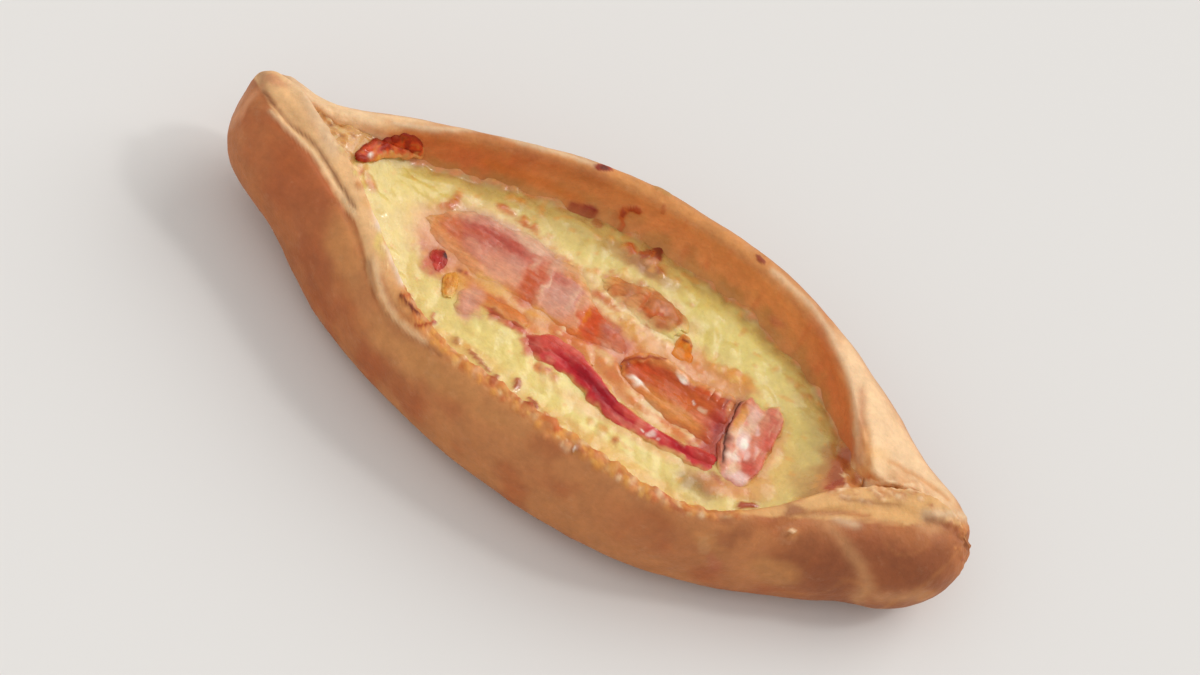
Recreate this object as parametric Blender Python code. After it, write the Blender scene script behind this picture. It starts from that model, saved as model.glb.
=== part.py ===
"""A peinirli: a boat of baked bread dough, pinched shut at both ends and filled with melted cheese and bacon.

X runs along the boat, +Y is its far side and +Z is up. The origin is on the table under the middle of the boat.
All sizes are in metres, and every piece is one closed solid that keeps a small gap to its neighbours.
"""

import math

import bmesh
import bpy
import numpy as np
from mathutils import Vector, noise

MM = 0.001
GAP = 0.5 * MM  # between pieces that lie on each other
NEAR, FAR = -1, 1

# The lines of the hull in mm, like a boat's: at each place along X, the Y of the near wall where it is widest, of
# the crest of the near rim, of the lowest line of the trough or the pinched seam, of the crest of the far rim and
# of the far wall, and then how deep the trough is below the rims' rounding.
HULL_LINES = (
    # x, near wall, near rim, middle, far rim, far wall, depth
    (-125, -17.0, 5.6, 7.2, 9.7, 17.1, 1.6),
    (-110, -18.9, 2.8, 6.3, 9.9, 18.0, 2.0),
    (-97, -23.4, -2.4, 3.6, 11.5, 20.7, 3.2),
    (-85, -29.5, -7.4, 2.0, 15.7, 24.7, 7.6),
    (-75, -34.4, -15.6, 1.2, 21.4, 28.7, 16.2),
    (-60, -41.7, -28.9, -0.6, 29.0, 35.6, 22.5),
    (-40, -49.8, -41.0, -2.4, 36.9, 44.0, 23.4),
    (-15, -54.5, -45.1, 0.1, 44.2, 51.8, 23.5),
    (15, -56.6, -47.8, -0.8, 45.8, 54.8, 23.5),
    (40, -53.5, -46.6, -2.3, 41.6, 51.6, 23.5),
    (55, -48.6, -40.2, -2.8, 35.5, 47.5, 23.2),
    (68, -43.2, -28.2, -1.8, 25.6, 43.6, 20.9),
    (78, -38.1, -14.6, -2.0, 12.4, 39.4, 12.6),
    (87, -33.9, -6.4, -2.3, 2.0, 33.9, 4.4),
    (100, -26.3, 2.0, 3.5, 5.2, 23.6, 2.1),
    (125, -16.0, 4.8, 6.3, 8.1, 16.8, 1.3),
)
WALL, RIM, MIDDLE, DEPTH = 0, 1, 2, 5  # columns as seen from the near side

HALF_LENGTH = 125 * MM
NOSE = (17 * MM, 2.8), (19.5 * MM, 2.1)  # length and bluntness of the rounding, at -X and at +X
CHIN = (21 * MM, 2.3), (19.5 * MM, 2.1)  # the same for the underside and the near wall
NOSE_TIP_Y = (4.6 * MM, 1.2 * MM)
WAIST_HEIGHT = 17 * MM  # where the wall is widest
KEEL_LIFT = (8.5 * MM, 3 * MM)  # how far each nose is off the table
KEEL_SINK = 1.6 * MM  # the round underside is cut off flat this far up
CROSSWISE_SHIFT = 0.4 * MM  # centres the finished hull on the origin

RIM_HEIGHT = 38 * MM
NOSE_RISE = (4.2 * MM, -1 * MM)
RIM_ROUND = 5 * MM
CHEESE_FILL = 0.56  # share of the trough's depth
FAR_TUCK = (8 * MM, 2.6 * MM)  # at the noses the far rim is tucked under the near rim's flap
FOLD_DEPTH = 1.6 * MM  # the groove below the folded rim
FOLD_BELOW_CREST = 8 * MM
FOLD_SPREAD = 2.2 * MM

# Unevenness of hand-shaped dough: a slow warp of the space that holds every piece
WARP = 1.5 * MM
WARP_LENGTH = 40 * MM
WARP_OFFSETS = (3.1, 7.7, 1.9), (15.3, 2.2, 9.4), (6.6, 21.8, 13.5)

# Points round one half of a cross-section, from under the keel up and over to the middle of the trough
OUTER, ROUND, BARE, UNDER = 16, 2, 3, 5
STATIONS = 60
CHEESE_ACROSS = 14
DENSE = 96

CHEESE_FROM, CHEESE_TO = -88 * MM, 79.5 * MM
CHEESE_SAG = 1.2 * MM
CHEESE_BUMP = 0.9 * MM
CHEESE_BUMP_LENGTH = 21 * MM


def ease(low, high, value):
    """0 below low, 1 above high, and a smooth step between them. low may be the larger."""
    t = min(1.0, max(0.0, (value - low) / (high - low)))
    return t * t * (3 - 2 * t)


def mix(a, b, t):
    return a + (b - a) * t


def arc(middle, reach, power, start, stop, count=DENSE):
    """Points of a superellipse about middle, with half axes reach, between two angles in degrees."""
    angle = np.radians(np.linspace(start, stop, count))
    cos, sin = np.cos(angle), np.sin(angle)
    across = middle[0] + reach[0] * np.sign(cos) * np.abs(cos) ** (2 / power)
    up = middle[1] + reach[1] * np.sign(sin) * np.abs(sin) ** (2 / power)
    return np.column_stack([across, up])


def spaced(path, shares):
    """Points at the given shares of a path's length."""
    steps = np.hypot(*np.diff(path, axis=0).T)
    along = np.concatenate([[0], np.cumsum(steps)])
    along /= along[-1]
    return np.column_stack([np.interp(shares, along, path[:, i]) for i in (0, 1)])


def curve_through(places, values, at):
    """A smooth curve through values at rising places, read off at one place."""
    slopes = np.gradient(values, places)
    left = min(max(np.searchsorted(places, at) - 1, 0), len(places) - 2)
    right = left + 1
    span = places[right] - places[left]
    t = (at - places[left]) / span
    start = (1 + 2 * t) * values[left] + t * span * slopes[left]
    end = (3 - 2 * t) * values[right] + (t - 1) * span * slopes[right]
    return (1 - t) ** 2 * start + t**2 * end


def at_end(pair, x):
    return pair[0] if x < 0 else pair[1]


def cap(x, rounding=NOSE):
    """1 along the boat, falling to 0 round the nose."""
    length, power = at_end(rounding, x)
    past = min(1.0, max(0.0, abs(x) - (HALF_LENGTH - length)) / length)
    return (1 - past**power) ** (1 / power)


def hull_line(column, x):
    """The Y of one of the hull's lines at x. The lines draw together at the tip of the nose."""
    rows = np.array(HULL_LINES) * MM
    value = curve_through(rows[:, 0], rows[:, column + 1], x)
    tip = at_end(NOSE_TIP_Y, x) if column != DEPTH else 0
    return mix(tip, value, cap(x, CHIN if column == WALL else NOSE))


def side_line(column, x, side):
    return hull_line(column if side == NEAR else 4 - column, x)


def heights(x):
    """(keel, waist, crest) of the hull at x."""
    left, right = ease(-68 * MM, -116 * MM, x), ease(75 * MM, 118 * MM, x)
    keel = KEEL_LIFT[0] * left + KEEL_LIFT[1] * right - KEEL_SINK
    crest = RIM_HEIGHT + NOSE_RISE[0] * left + NOSE_RISE[1] * right
    waist = mix(WAIST_HEIGHT, (keel + crest) / 2, max(left, right))
    return mix(waist, keel, cap(x, CHIN)), waist, mix(waist, crest, cap(x))


def tuck(x, side):
    return at_end(FAR_TUCK, x) * ease(80 * MM, 110 * MM, abs(x)) * cap(x) if side == FAR else 0.0


def fold_strength(x):
    """Where the near rim shows the groove under its fold: all of the -X half, and the +X nose."""
    left = ease(-18 * MM, -52 * MM, x) * ease(-124 * MM, -112 * MM, x)
    right = ease(60 * MM, 84 * MM, x) * ease(118 * MM, 106 * MM, x)
    return max(left, right)


def outer_wall(x, side):
    """The hull from under the keel to the crest of the rim, with the groove under the fold."""
    keel, waist, crest = heights(x)
    crest -= tuck(x, side)
    wall_y, crest_y = side_line(WALL, x, side), side_line(RIM, x, side)
    keel_y = (hull_line(WALL, x) + side_line(WALL, x, FAR)) / 2
    boxy = mix(3.4, 2.2, ease(60 * MM, 105 * MM, abs(x)))
    low = arc((keel_y, waist), (wall_y - keel_y, waist - keel), boxy, -90, 0)
    high = arc((crest_y, waist), (wall_y - crest_y, crest - waist), 2.25, 0, 90)
    path = np.vstack([low, high[1:]])
    shares = 1 - (1 - np.arange(OUTER + 1) / OUTER) ** 1.5
    points = spaced(path, shares)
    if side == NEAR and fold_strength(x) > 0:
        below = (1 - shares) * np.hypot(*np.diff(path, axis=0).T).sum()
        groove = np.exp(-(((below - FOLD_BELOW_CREST) / FOLD_SPREAD) ** 2))
        inwards = np.array([crest_y, waist]) - points
        inwards /= np.maximum(np.hypot(*inwards.T), MM)[:, None]
        points += inwards * (FOLD_DEPTH * fold_strength(x) * groove)[:, None]
    return points


def inner_wall(x, side):
    """The rim's inner round, the bare wall down to the cheese, and the trough under the cheese."""
    middle, crest_y = hull_line(MIDDLE, x), side_line(RIM, x, side)
    half_width = abs(crest_y - middle)
    rounding = RIM_ROUND * (1 - math.exp(-half_width / (1.6 * RIM_ROUND)))
    depth = hull_line(DEPTH, x)
    crest = heights(x)[2]
    floor = crest - tuck(x, FAR) - 1.2 * rounding - depth
    crest -= tuck(x, side)
    top = crest - 1.2 * rounding
    roll = arc((crest_y, top), (side * rounding, 1.2 * rounding), 2, 90, 180, ROUND + 1)
    wall = arc((middle, top), (side * (half_width - rounding), top - floor), 2.5, 0, -90)
    level = floor + CHEESE_FILL * depth
    split = min(max(np.argmin(np.abs(wall[:, 1] - level)), 2), DENSE - 3)
    bare = spaced(wall[: split + 1], np.linspace(0, 1, BARE + 1))
    under = spaced(wall[split:], np.linspace(0, 1, UNDER + 1))
    return np.vstack([roll[1:], bare[1:], under[1:]])


CHEESE_EDGE = OUTER + ROUND + BARE  # the point of a half section where the cheese meets the wall


def cross_section(x):
    """The closed ring of points round the dough at x, as (y, z): up the near side and back down the far side."""
    near, far = (np.vstack([outer_wall(x, side), inner_wall(x, side)]) for side in (NEAR, FAR))
    return np.vstack([near, far[-2:0:-1]])


def ring_point(ring, place):
    """The point of a ring at a place that need not be whole."""
    closed = np.vstack([ring, ring[:1]])
    return np.array([np.interp(place % len(ring), np.arange(len(closed)), closed[:, i]) for i in (0, 1)])


def warp(point):
    """The slow unevenness of the dough, which fades out at the flat underside."""
    place = point / WARP_LENGTH
    shift = Vector([noise.noise(place + Vector(offset)) for offset in WARP_OFFSETS]) * WARP
    shift.z *= ease(0, 18 * MM, point.z)
    moved = point + shift
    moved.z = max(moved.z, 0.0)
    return moved + Vector((0, CROSSWISE_SHIFT, 0))


def sphere_of_rings(name, xs, rings, ends):
    """A closed solid through rings of points, made from a sphere whose meridians run along X."""
    around, bands = len(rings[0]), len(xs) + 1
    bm = bmesh.new()
    bmesh.ops.create_uvsphere(bm, u_segments=around, v_segments=bands, radius=1)
    for vert in bm.verts:
        band = round((0.5 + math.asin(max(-1, min(1, vert.co.z))) / math.pi) * bands)
        if band in (0, bands):
            vert.co = warp(ends[0 if band == 0 else 1])
            continue
        slot = round(math.atan2(vert.co.y, vert.co.x) / math.tau * around) % around
        vert.co = warp(Vector((xs[band - 1], *rings[band - 1][slot])))
    bmesh.ops.recalc_face_normals(bm, faces=bm.faces)
    if bm.calc_volume(signed=True) < 0:
        bmesh.ops.reverse_faces(bm, faces=bm.faces)
    return add_object(name, bm)


def add_object(name, bm, collection=None):
    mesh = bpy.data.meshes.new(name)
    bm.to_mesh(mesh)
    bm.free()
    mesh.shade_smooth()
    mesh.set_sharp_from_angle(angle=math.radians(50))
    obj = bpy.data.objects.new(name, mesh)
    (collection or bpy.context.collection).objects.link(obj)
    return obj


def paint(obj, colour, roughness):
    material = bpy.data.materials.new(obj.name)
    material.use_nodes = True
    shader = material.node_tree.nodes["Principled BSDF"]
    shader.inputs["Base Color"].default_value = (*colour, 1)
    shader.inputs["Roughness"].default_value = roughness
    obj.data.materials.append(material)


def station_list():
    """Places of the cross-sections, closer together towards the round noses."""
    angles = np.radians(np.linspace(-90, 90, STATIONS + 1)[1:-1])
    return HALF_LENGTH * (np.sin(angles) - 0.12 * np.sin(3 * angles)) / 1.12


def make_dough():
    xs = station_list()
    rings = [cross_section(x) for x in xs]
    ends = [Vector((x, at_end(NOSE_TIP_Y, x), heights(x)[1])) for x in (-HALF_LENGTH, HALF_LENGTH)]
    return sphere_of_rings("dough_boat", xs, rings, ends)


def cheese_edges(x):
    """The two points where the cheese meets the wall at x."""
    ring = cross_section(x)
    return ring[CHEESE_EDGE], ring[len(ring) - CHEESE_EDGE]


def cheese_height(x, y, edges=None):
    """The top of the cheese: it clings to the wall, sags between, and is lumpy."""
    near, far = edges or cheese_edges(x)
    across = (y - near[0]) / max(far[0] - near[0], MM)
    across = min(1.0, max(0.0, across))
    inside = 1 - abs(2 * across - 1) ** 4
    ends = ease(CHEESE_FROM, CHEESE_FROM + 12 * MM, x) * ease(CHEESE_TO, CHEESE_TO - 12 * MM, x)
    lumps = CHEESE_BUMP * noise.noise(Vector((x, y, 0)) / CHEESE_BUMP_LENGTH)
    return mix(near[1], far[1], across) + inside * ends * (lumps - CHEESE_SAG)


def make_cheese():
    """The filling: it follows the trough a gap away, and its top is cheese_height."""
    xs = [x for x in station_list() if CHEESE_FROM < x < CHEESE_TO]
    rings = []
    for x in xs:
        section = cross_section(x)
        trough = section[CHEESE_EDGE - 1 : len(section) - CHEESE_EDGE + 2]
        along = trough[2:] - trough[:-2]
        inwards = np.column_stack([-along[:, 1], along[:, 0]])
        inwards /= np.hypot(*inwards.T)[:, None]
        bed = trough[1:-1] + inwards * GAP * 1.2
        edges = (bed[0], bed[-1])
        tops = np.linspace(bed[-1][0], bed[0][0], CHEESE_ACROSS + 1)[1:-1]
        top = [(y, max(cheese_height(x, y, edges), bed[:, 1].min() + MM)) for y in tops]
        rings.append(np.vstack([bed, top]))
    ends = [Vector((x + math.copysign(1.5 * MM, x), *ring.mean(axis=0)))
            for x, ring in ((xs[0], rings[0]), (xs[-1], rings[-1]))]
    return sphere_of_rings("cheese_filling", xs, rings, ends)


# Slices of bacon in mm, as seen from above: rows of x, Y of the near edge, Y of the far edge, and how high the
# near and the far edge stand off the cheese. Then the thickness and the height and number of small waves.
SLICES = {
    "bacon_wide_slice": dict(
        rows=((-61.5, 1.5, 7.5, 1.2, 1.2), (-56, -2, 12.5, 0.2, 1.0), (-47, -4, 17, 0.2, 0.6),
              (-34, -6, 19.5, 0, 0.4), (-22, -5, 19.5, 0.4, 0.3), (-13, -5.5, 17.5, 0.2, 0.2),
              (-5, -5, 9.5, 0.3, 0.2), (2, -3.5, 6, 0.2, 0.4), (7.6, -2, 3.6, 0.3, 0.6)),
        thick=1.7, wave=0.5, waves=4.5, colour=(0.62, 0.27, 0.22)),
    "bacon_crisp_slice": dict(
        rows=((8.8, -6.2, -3.2, 2.2, 3.4), (13, -8, 1.6, 0.6, 3.0), (20, -9.6, 3.6, 0.2, 2.2),
              (30, -11.6, 3.8, 0, 2.0), (38, -11.6, 6.6, 0.4, 1.8), (44, -11, 8.6, 0.6, 1.0)),
        thick=1.7, wave=0.6, waves=2.4, colour=(0.58, 0.2, 0.08)),
    "bacon_lean_edge": dict(
        rows=((-18, -18.2, -14, 0.2, 0.2), (-12, -19, -9, 0, 1.0), (-4, -17.6, -8.6, 0, 1.6),
              (6, -21.6, -13.2, 0, 1.6), (15, -23.8, -15.8, 0.2, 1.0), (26, -21.4, -16.8, 0.4, 0.8),
              (38, -20.4, -16.4, 0.6, 1.0), (45.4, -19.6, -15.8, 0.4, 0.8)),
        thick=1.9, wave=0.4, waves=3, colour=(0.4, 0.03, 0.05)),
    "bacon_end_piece": dict(
        rows=((45, -12, 8.6, 3.6, 3.2), (48.4, -16.6, 10, 1.6, 2.2), (52.5, -18.2, 10.6, 0.3, 1.4),
              (56.5, -18, 12, 0.2, 2.4), (60, -14.6, 8.4, 1.4, 3.0)),
        thick=1.8, wave=0.3, waves=1.3, colour=(0.6, 0.2, 0.2)),
    "bacon_melted_slice": dict(
        rows=((-41, -19, -9, 0, 0.2), (-35, -19.6, -8.2, 0, 0.2), (-31, -14.4, -7.8, 0.3, 0.2),
              (-25, -14, -7.4, 0.3, 0.3), (-19.5, -12.6, -8.2, 0, 0.2)),
        thick=1.4, wave=0.3, waves=1.5, colour=(0.7, 0.38, 0.16)),
    "bacon_back_curl": dict(
        rows=((-5.5, 17.5, 22, 0.4, 1.2), (0, 16, 24.6, 1.0, 0.4), (6, 15, 24.8, 0.2, 2.2),
              (12, 13.8, 24.2, 1.6, 2.6), (17, 15.4, 20.6, 2.2, 2.4)),
        thick=1.6, wave=0.6, waves=2, colour=(0.55, 0.26, 0.16)),
    "bacon_crisp_flap": dict(
        rows=((19.6, 7.6, 14.6, 2.2, 5.2), (22.4, 6.8, 16.2, 0.4, 3.6), (25.4, 7.8, 12.4, 0.2, 0.8)),
        thick=1.4, wave=0.2, waves=1, colour=(0.75, 0.3, 0.05)),
}
SLICE_CELL = 3.2 * MM
# Small toasted lumps that lie on the cheese, in mm: middle, half sizes and turn
LUMPS = {
    "bacon_red_bit": dict(at=(-51.5, -8), half=(3.6, 4.6, 2.6), turn=20, colour=(0.45, 0.05, 0.06)),
    "bacon_fat_bit": dict(at=(-44.6, -12.8), half=(2.9, 4.8, 2.4), turn=12, colour=(0.8, 0.5, 0.12)),
}


def slice_row(rows, t):
    """One row of a slice at a share t of its length, with rounded corners."""
    rows = np.array(rows, float)
    at = rows[0, 0] + (rows[-1, 0] - rows[0, 0]) * (t + np.linspace(-0.05, 0.05, 5))
    at = np.clip(at, rows[0, 0], rows[-1, 0])
    row = [np.interp(at, rows[:, 0], rows[:, column]).mean() for column in range(5)]
    end = 1 - 0.22 * abs(2 * t - 1) ** 14
    middle = (row[1] + row[2]) / 2
    return (row[0], mix(middle, row[1], end), mix(middle, row[2], end), row[3], row[4])


def make_slice(name, spec):
    """A slice of bacon that follows the cheese below it, with its edges lifted."""
    rows = spec["rows"]
    length, width = rows[-1][0] - rows[0][0], max(row[2] - row[1] for row in rows)
    cells = [max(3, round(size * MM / SLICE_CELL)) for size in (length, width)]
    bm = bmesh.new()
    bmesh.ops.create_grid(bm, x_segments=cells[0], y_segments=cells[1], size=1)
    for vert in bm.verts:
        t, v = (vert.co.x + 1) / 2, (vert.co.y + 1) / 2
        x, near, far, near_lift, far_lift = slice_row(rows, t)
        x, y = x * MM, mix(near, far, v) * MM
        edge = abs(2 * v - 1) ** 2.5
        lift = (near_lift if v < 0.5 else far_lift) * edge
        lift += spec["wave"] * (1 + math.sin(math.tau * spec["waves"] * t + 2.2 * v)) / 2
        vert.co = warp(Vector((x, y, cheese_height(x, y) + GAP + lift * MM)))
    if sum(face.normal.z for face in bm.faces) < 0:
        bmesh.ops.reverse_faces(bm, faces=bm.faces)
    obj = add_object(name, bm)
    thicken(obj, spec["thick"] * MM)
    paint(obj, spec["colour"], 0.35)


def thicken(obj, thickness):
    wall = obj.modifiers.new("Thickness", "SOLIDIFY")
    wall.thickness = thickness
    wall.offset = 1
    wall.use_even_offset = True


def make_lump(name, spec):
    """A bit with a flat foot on the cheese."""
    bm = bmesh.new()
    bmesh.ops.create_icosphere(bm, subdivisions=2, radius=1)
    turn = math.radians(spec["turn"])
    half = [h * MM for h in spec["half"]]
    for vert in bm.verts:
        uneven = 1 + 0.22 * noise.noise(vert.co * 1.3 + Vector((len(name), 0, 0)))
        a, b = vert.co.x * half[0] * uneven, vert.co.y * half[1] * uneven
        x = spec["at"][0] * MM + a * math.cos(turn) - b * math.sin(turn)
        y = spec["at"][1] * MM + a * math.sin(turn) + b * math.cos(turn)
        up = max(0.0, vert.co.z + 0.35) * half[2] * uneven
        vert.co = warp(Vector((x, y, cheese_height(x, y) + GAP + up)))
    obj = add_object(name, bm)
    paint(obj, spec["colour"], 0.35)


# A caramelised scrap in the -X corner, baked against the far wall
SCRAP_FROM, SCRAP_TO = -88 * MM, -73 * MM
SCRAP_THICK = 2 * MM
SCRAP_LOW, SCRAP_HIGH = (0.0, 0.8), (2.6, 4.2)  # its edges on the far wall, in ring points above the cheese


def make_wall_scrap():
    bm = bmesh.new()
    bmesh.ops.create_grid(bm, x_segments=6, y_segments=4, size=1)
    for vert in bm.verts:
        t = (vert.co.x + 1) / 2
        x = mix(SCRAP_FROM, SCRAP_TO, t)
        ring = cross_section(x)
        low, high = mix(*SCRAP_LOW, t), mix(*SCRAP_HIGH, t)
        up = mix(low, high - 0.6 * max(0.0, abs(2 * t - 1) - 0.5), (vert.co.y + 1) / 2)
        place = len(ring) - CHEESE_EDGE + up
        along = ring_point(ring, place + 0.3) - ring_point(ring, place - 0.3)
        off = np.array([-along[1], along[0]]) / np.hypot(*along) * GAP * 2
        vert.co = warp(Vector((x, *(ring_point(ring, place) + off))))
    if sum(face.normal.y for face in bm.faces) > 0:
        bmesh.ops.reverse_faces(bm, faces=bm.faces)
    obj = add_object("bacon_corner_scrap", bm)
    thicken(obj, SCRAP_THICK)
    paint(obj, (0.4, 0.08, 0.03), 0.3)


# Burnt flecks of filling stuck to the dough: place along X, side, place round the half section, half sizes
FLECKS = [
    dict(x=-24, side=FAR, ring=CHEESE_EDGE - 0.8, half=(4.6, 1.7, 1.7)),
    dict(x=-12, side=FAR, ring=CHEESE_EDGE - 2.1, half=(1.6, 1.6, 3.6)),
    dict(x=0, side=FAR, ring=CHEESE_EDGE - 0.6, half=(2.8, 1.6, 2.4)),
    dict(x=-26, side=FAR, ring=OUTER - 0.9, half=(1.6, 1.2, 1.2)),
    dict(x=-8, side=FAR, ring=OUTER - 1.0, half=(1.9, 1.0, 1.0)),
    dict(x=-50, side=NEAR, ring=OUTER + 1.6, half=(3.0, 1.2, 1.2)),
    dict(x=-43, side=NEAR, ring=OUTER + 1.8, half=(2.2, 1.4, 1.2)),
    dict(x=63, side=NEAR, ring=OUTER + 2.2, half=(2.6, 1.4, 1.2)),
    dict(x=79, side=FAR, ring=OUTER + 2.6, half=(2.6, 1.5, 2.6)),
]


def add_flecks(dough):
    """Fuses the flecks into the dough with one union."""
    group = bpy.data.collections.new("flecks")
    bpy.context.scene.collection.children.link(group)
    for index, spec in enumerate(FLECKS):
        ring = cross_section(spec["x"] * MM)
        place = spec["ring"] if spec["side"] == NEAR else len(ring) - spec["ring"]
        middle = warp(Vector((spec["x"] * MM, *ring_point(ring, place))))
        bm = bmesh.new()
        bmesh.ops.create_icosphere(bm, subdivisions=1, radius=MM)
        for vert in bm.verts:
            vert.co = middle + Vector([c * h for c, h in zip(vert.co, spec["half"])])
        add_object(f"fleck_{index}", bm, group)
    union = dough.modifiers.new("Flecks", "BOOLEAN")
    union.operation = "UNION"
    union.operand_type = "COLLECTION"
    union.collection = group
    union.solver = "EXACT"
    graph = bpy.context.evaluated_depsgraph_get()
    joined = bpy.data.meshes.new_from_object(dough.evaluated_get(graph))
    dough.modifiers.clear()
    dough.data = joined
    for fleck in list(group.objects):
        bpy.data.objects.remove(fleck)
    bpy.data.collections.remove(group)


def main():
    for obj in list(bpy.data.objects):
        bpy.data.objects.remove(obj)
    dough = make_dough()
    add_flecks(dough)
    paint(dough, (0.52, 0.27, 0.12), 0.6)
    paint(make_cheese(), (0.8, 0.66, 0.25), 0.35)
    for name, spec in SLICES.items():
        make_slice(name, spec)
    for name, spec in LUMPS.items():
        make_lump(name, spec)
    make_wall_scrap()


main()
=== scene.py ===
# A peinirli: a boat of baked dough, pinched shut at both ends, with melted cheese and fried bacon in it.
# X runs along the boat, +Y is its far side and +Z is up. Sizes are in metres, or in mm where a note says so.
import math
import random

import bmesh
import bpy
import numpy as np
from mathutils import Matrix, Vector, noise


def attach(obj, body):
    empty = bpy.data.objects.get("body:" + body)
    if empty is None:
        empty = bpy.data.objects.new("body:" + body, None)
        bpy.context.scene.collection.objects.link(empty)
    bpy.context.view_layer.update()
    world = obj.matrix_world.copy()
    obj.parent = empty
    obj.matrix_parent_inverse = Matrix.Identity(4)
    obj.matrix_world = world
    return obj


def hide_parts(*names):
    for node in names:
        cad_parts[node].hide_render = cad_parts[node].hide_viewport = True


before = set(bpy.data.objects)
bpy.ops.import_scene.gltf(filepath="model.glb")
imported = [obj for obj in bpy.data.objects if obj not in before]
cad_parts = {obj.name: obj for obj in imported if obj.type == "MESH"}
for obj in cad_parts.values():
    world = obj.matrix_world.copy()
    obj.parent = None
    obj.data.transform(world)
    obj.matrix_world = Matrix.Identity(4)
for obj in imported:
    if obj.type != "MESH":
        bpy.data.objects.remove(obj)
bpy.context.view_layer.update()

mm = 0.001
nearSide, farSide = -1, 1


def ease(low, high, value):
    t = np.clip((value - low) / (high - low), 0, 1)
    return t * t * (3 - 2 * t)


def mix(a, b, t):
    return a + (b - a) * t


def noiseAt(points, length, offset=0.0):
    # one noise value for each row of points; length is the size of a lump
    scaled = (np.asarray(points) / length + offset).tolist()
    return np.fromiter((noise.noise(p) for p in scaled), float, len(scaled))


def linear(colour):
    # a colour as a screen shows it, 0 to 255, in the linear values that shaders take
    c = np.array(colour, float) / 255
    return np.where(c <= 0.04045, c / 12.92, ((c + 0.055) / 1.055) ** 2.4)


def placesOf(bm):
    return np.array([vert.co[:] for vert in bm.verts])


def moveTo(bm, places):
    for vert, place in zip(bm.verts, places.tolist()):
        vert.co = place


def normalsOf(bm):
    bm.normal_update()
    return np.array([vert.normal[:] for vert in bm.verts])


def curveThrough(places, values, at):
    # a smooth curve through values at rising places, read off anywhere
    slopes = np.gradient(values, places)
    left = np.clip(np.searchsorted(places, at) - 1, 0, len(places) - 2)
    span = places[left + 1] - places[left]
    t = (at - places[left]) / span
    start = (1 + 2 * t) * values[left] + t * span * slopes[left]
    end = (3 - 2 * t) * values[left + 1] + (t - 1) * span * slopes[left + 1]
    return (1 - t) ** 2 * start + t**2 * end


def turnedBy(degrees, x, y):
    # how far places lie along and across a direction
    cos, sin = math.cos(math.radians(degrees)), math.sin(math.radians(degrees))
    return x * cos + y * sin, y * cos - x * sin


def levelled(x, y):
    return np.column_stack([x, y, np.zeros_like(x)])


def sway(points, length, offsets):
    # irregular shifts, a column for each offset of the noise
    return np.column_stack([noiseAt(points, length, offset) for offset in offsets])


def nearLine(points, path, width):
    # 1 on a line through path (mm), falling to 0 a few widths to its side
    path = np.array(path, float) * mm
    best = np.full(len(points), np.inf)
    for start, end in zip(path[:-1], path[1:]):
        run = end - start
        t = np.clip((points - start) @ run / (run @ run), 0, 1)
        best = np.minimum(best, ((points - start - t[:, None] * run) ** 2).sum(axis=1))
    return np.exp(-best / (width * mm) ** 2)


def tintOver(tone, tint, share):
    # lays a tint over the tones, by a share from 0 to 1 for each point
    tone += (linear(tints[tint]) - tone) * np.clip(share, 0, 1)[:, None]


def paintSpots(tone, plan, spots, where=1.0):
    # each spot in mm: x, y, half length, half width, turn in degrees, tint, strength, softness of its edge
    for x, y, long, wide, turn, tint, strength, soft in spots:
        a, b = turnedBy(turn, *(plan - np.array((x, y)) * mm).T)
        reach = np.hypot(a / (long * mm), b / (wide * mm))
        tintOver(tone, tint, ease(1 + soft, 1 - soft, reach) * strength * where)


# Marks and stains, and the painted light and shade among them, are told in mm where the viewer sees them
# against a level plane at the filling's height
eye, seenLevel = np.array((0, -0.677, 0.891)), 24.5 * mm


def asSeen(places):
    share = (eye[2] - seenLevel) / (eye[2] - places[:, 2])
    return eye[:2] + (places[:, :2] - eye[:2]) * share[:, None]


def facingEye(normals):
    return ease(0.0, 0.3, normals @ (eye / np.linalg.norm(eye)))


def addPiece(name, bm, tone, material, replaced):
    mesh = bpy.data.meshes.new(name)
    bm.to_mesh(mesh)
    bm.free()
    mesh.shade_smooth()
    layer = mesh.attributes.new("tone", "FLOAT_COLOR", "POINT")
    layer.data.foreach_set("color", np.column_stack([tone, np.ones(len(tone))]).ravel())
    piece = bpy.data.objects.new(name, mesh)
    bpy.context.scene.collection.objects.link(piece)
    piece.data.materials.append(material)
    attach(piece, "root")
    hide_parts(*replaced)
    print(name, len(mesh.polygons), "faces")
    return piece


def thicken(piece, thickness, offset, **settings):
    # gives a thin skin its thickness, and then smooths it
    wall = piece.modifiers.new("Thickness", "SOLIDIFY")
    wall.thickness, wall.offset = thickness, offset
    for name, value in settings.items():
        setattr(wall, name, value)
    smooth = piece.modifiers.new("Smooth", "SUBSURF")
    smooth.levels = smooth.render_levels = 1


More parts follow.
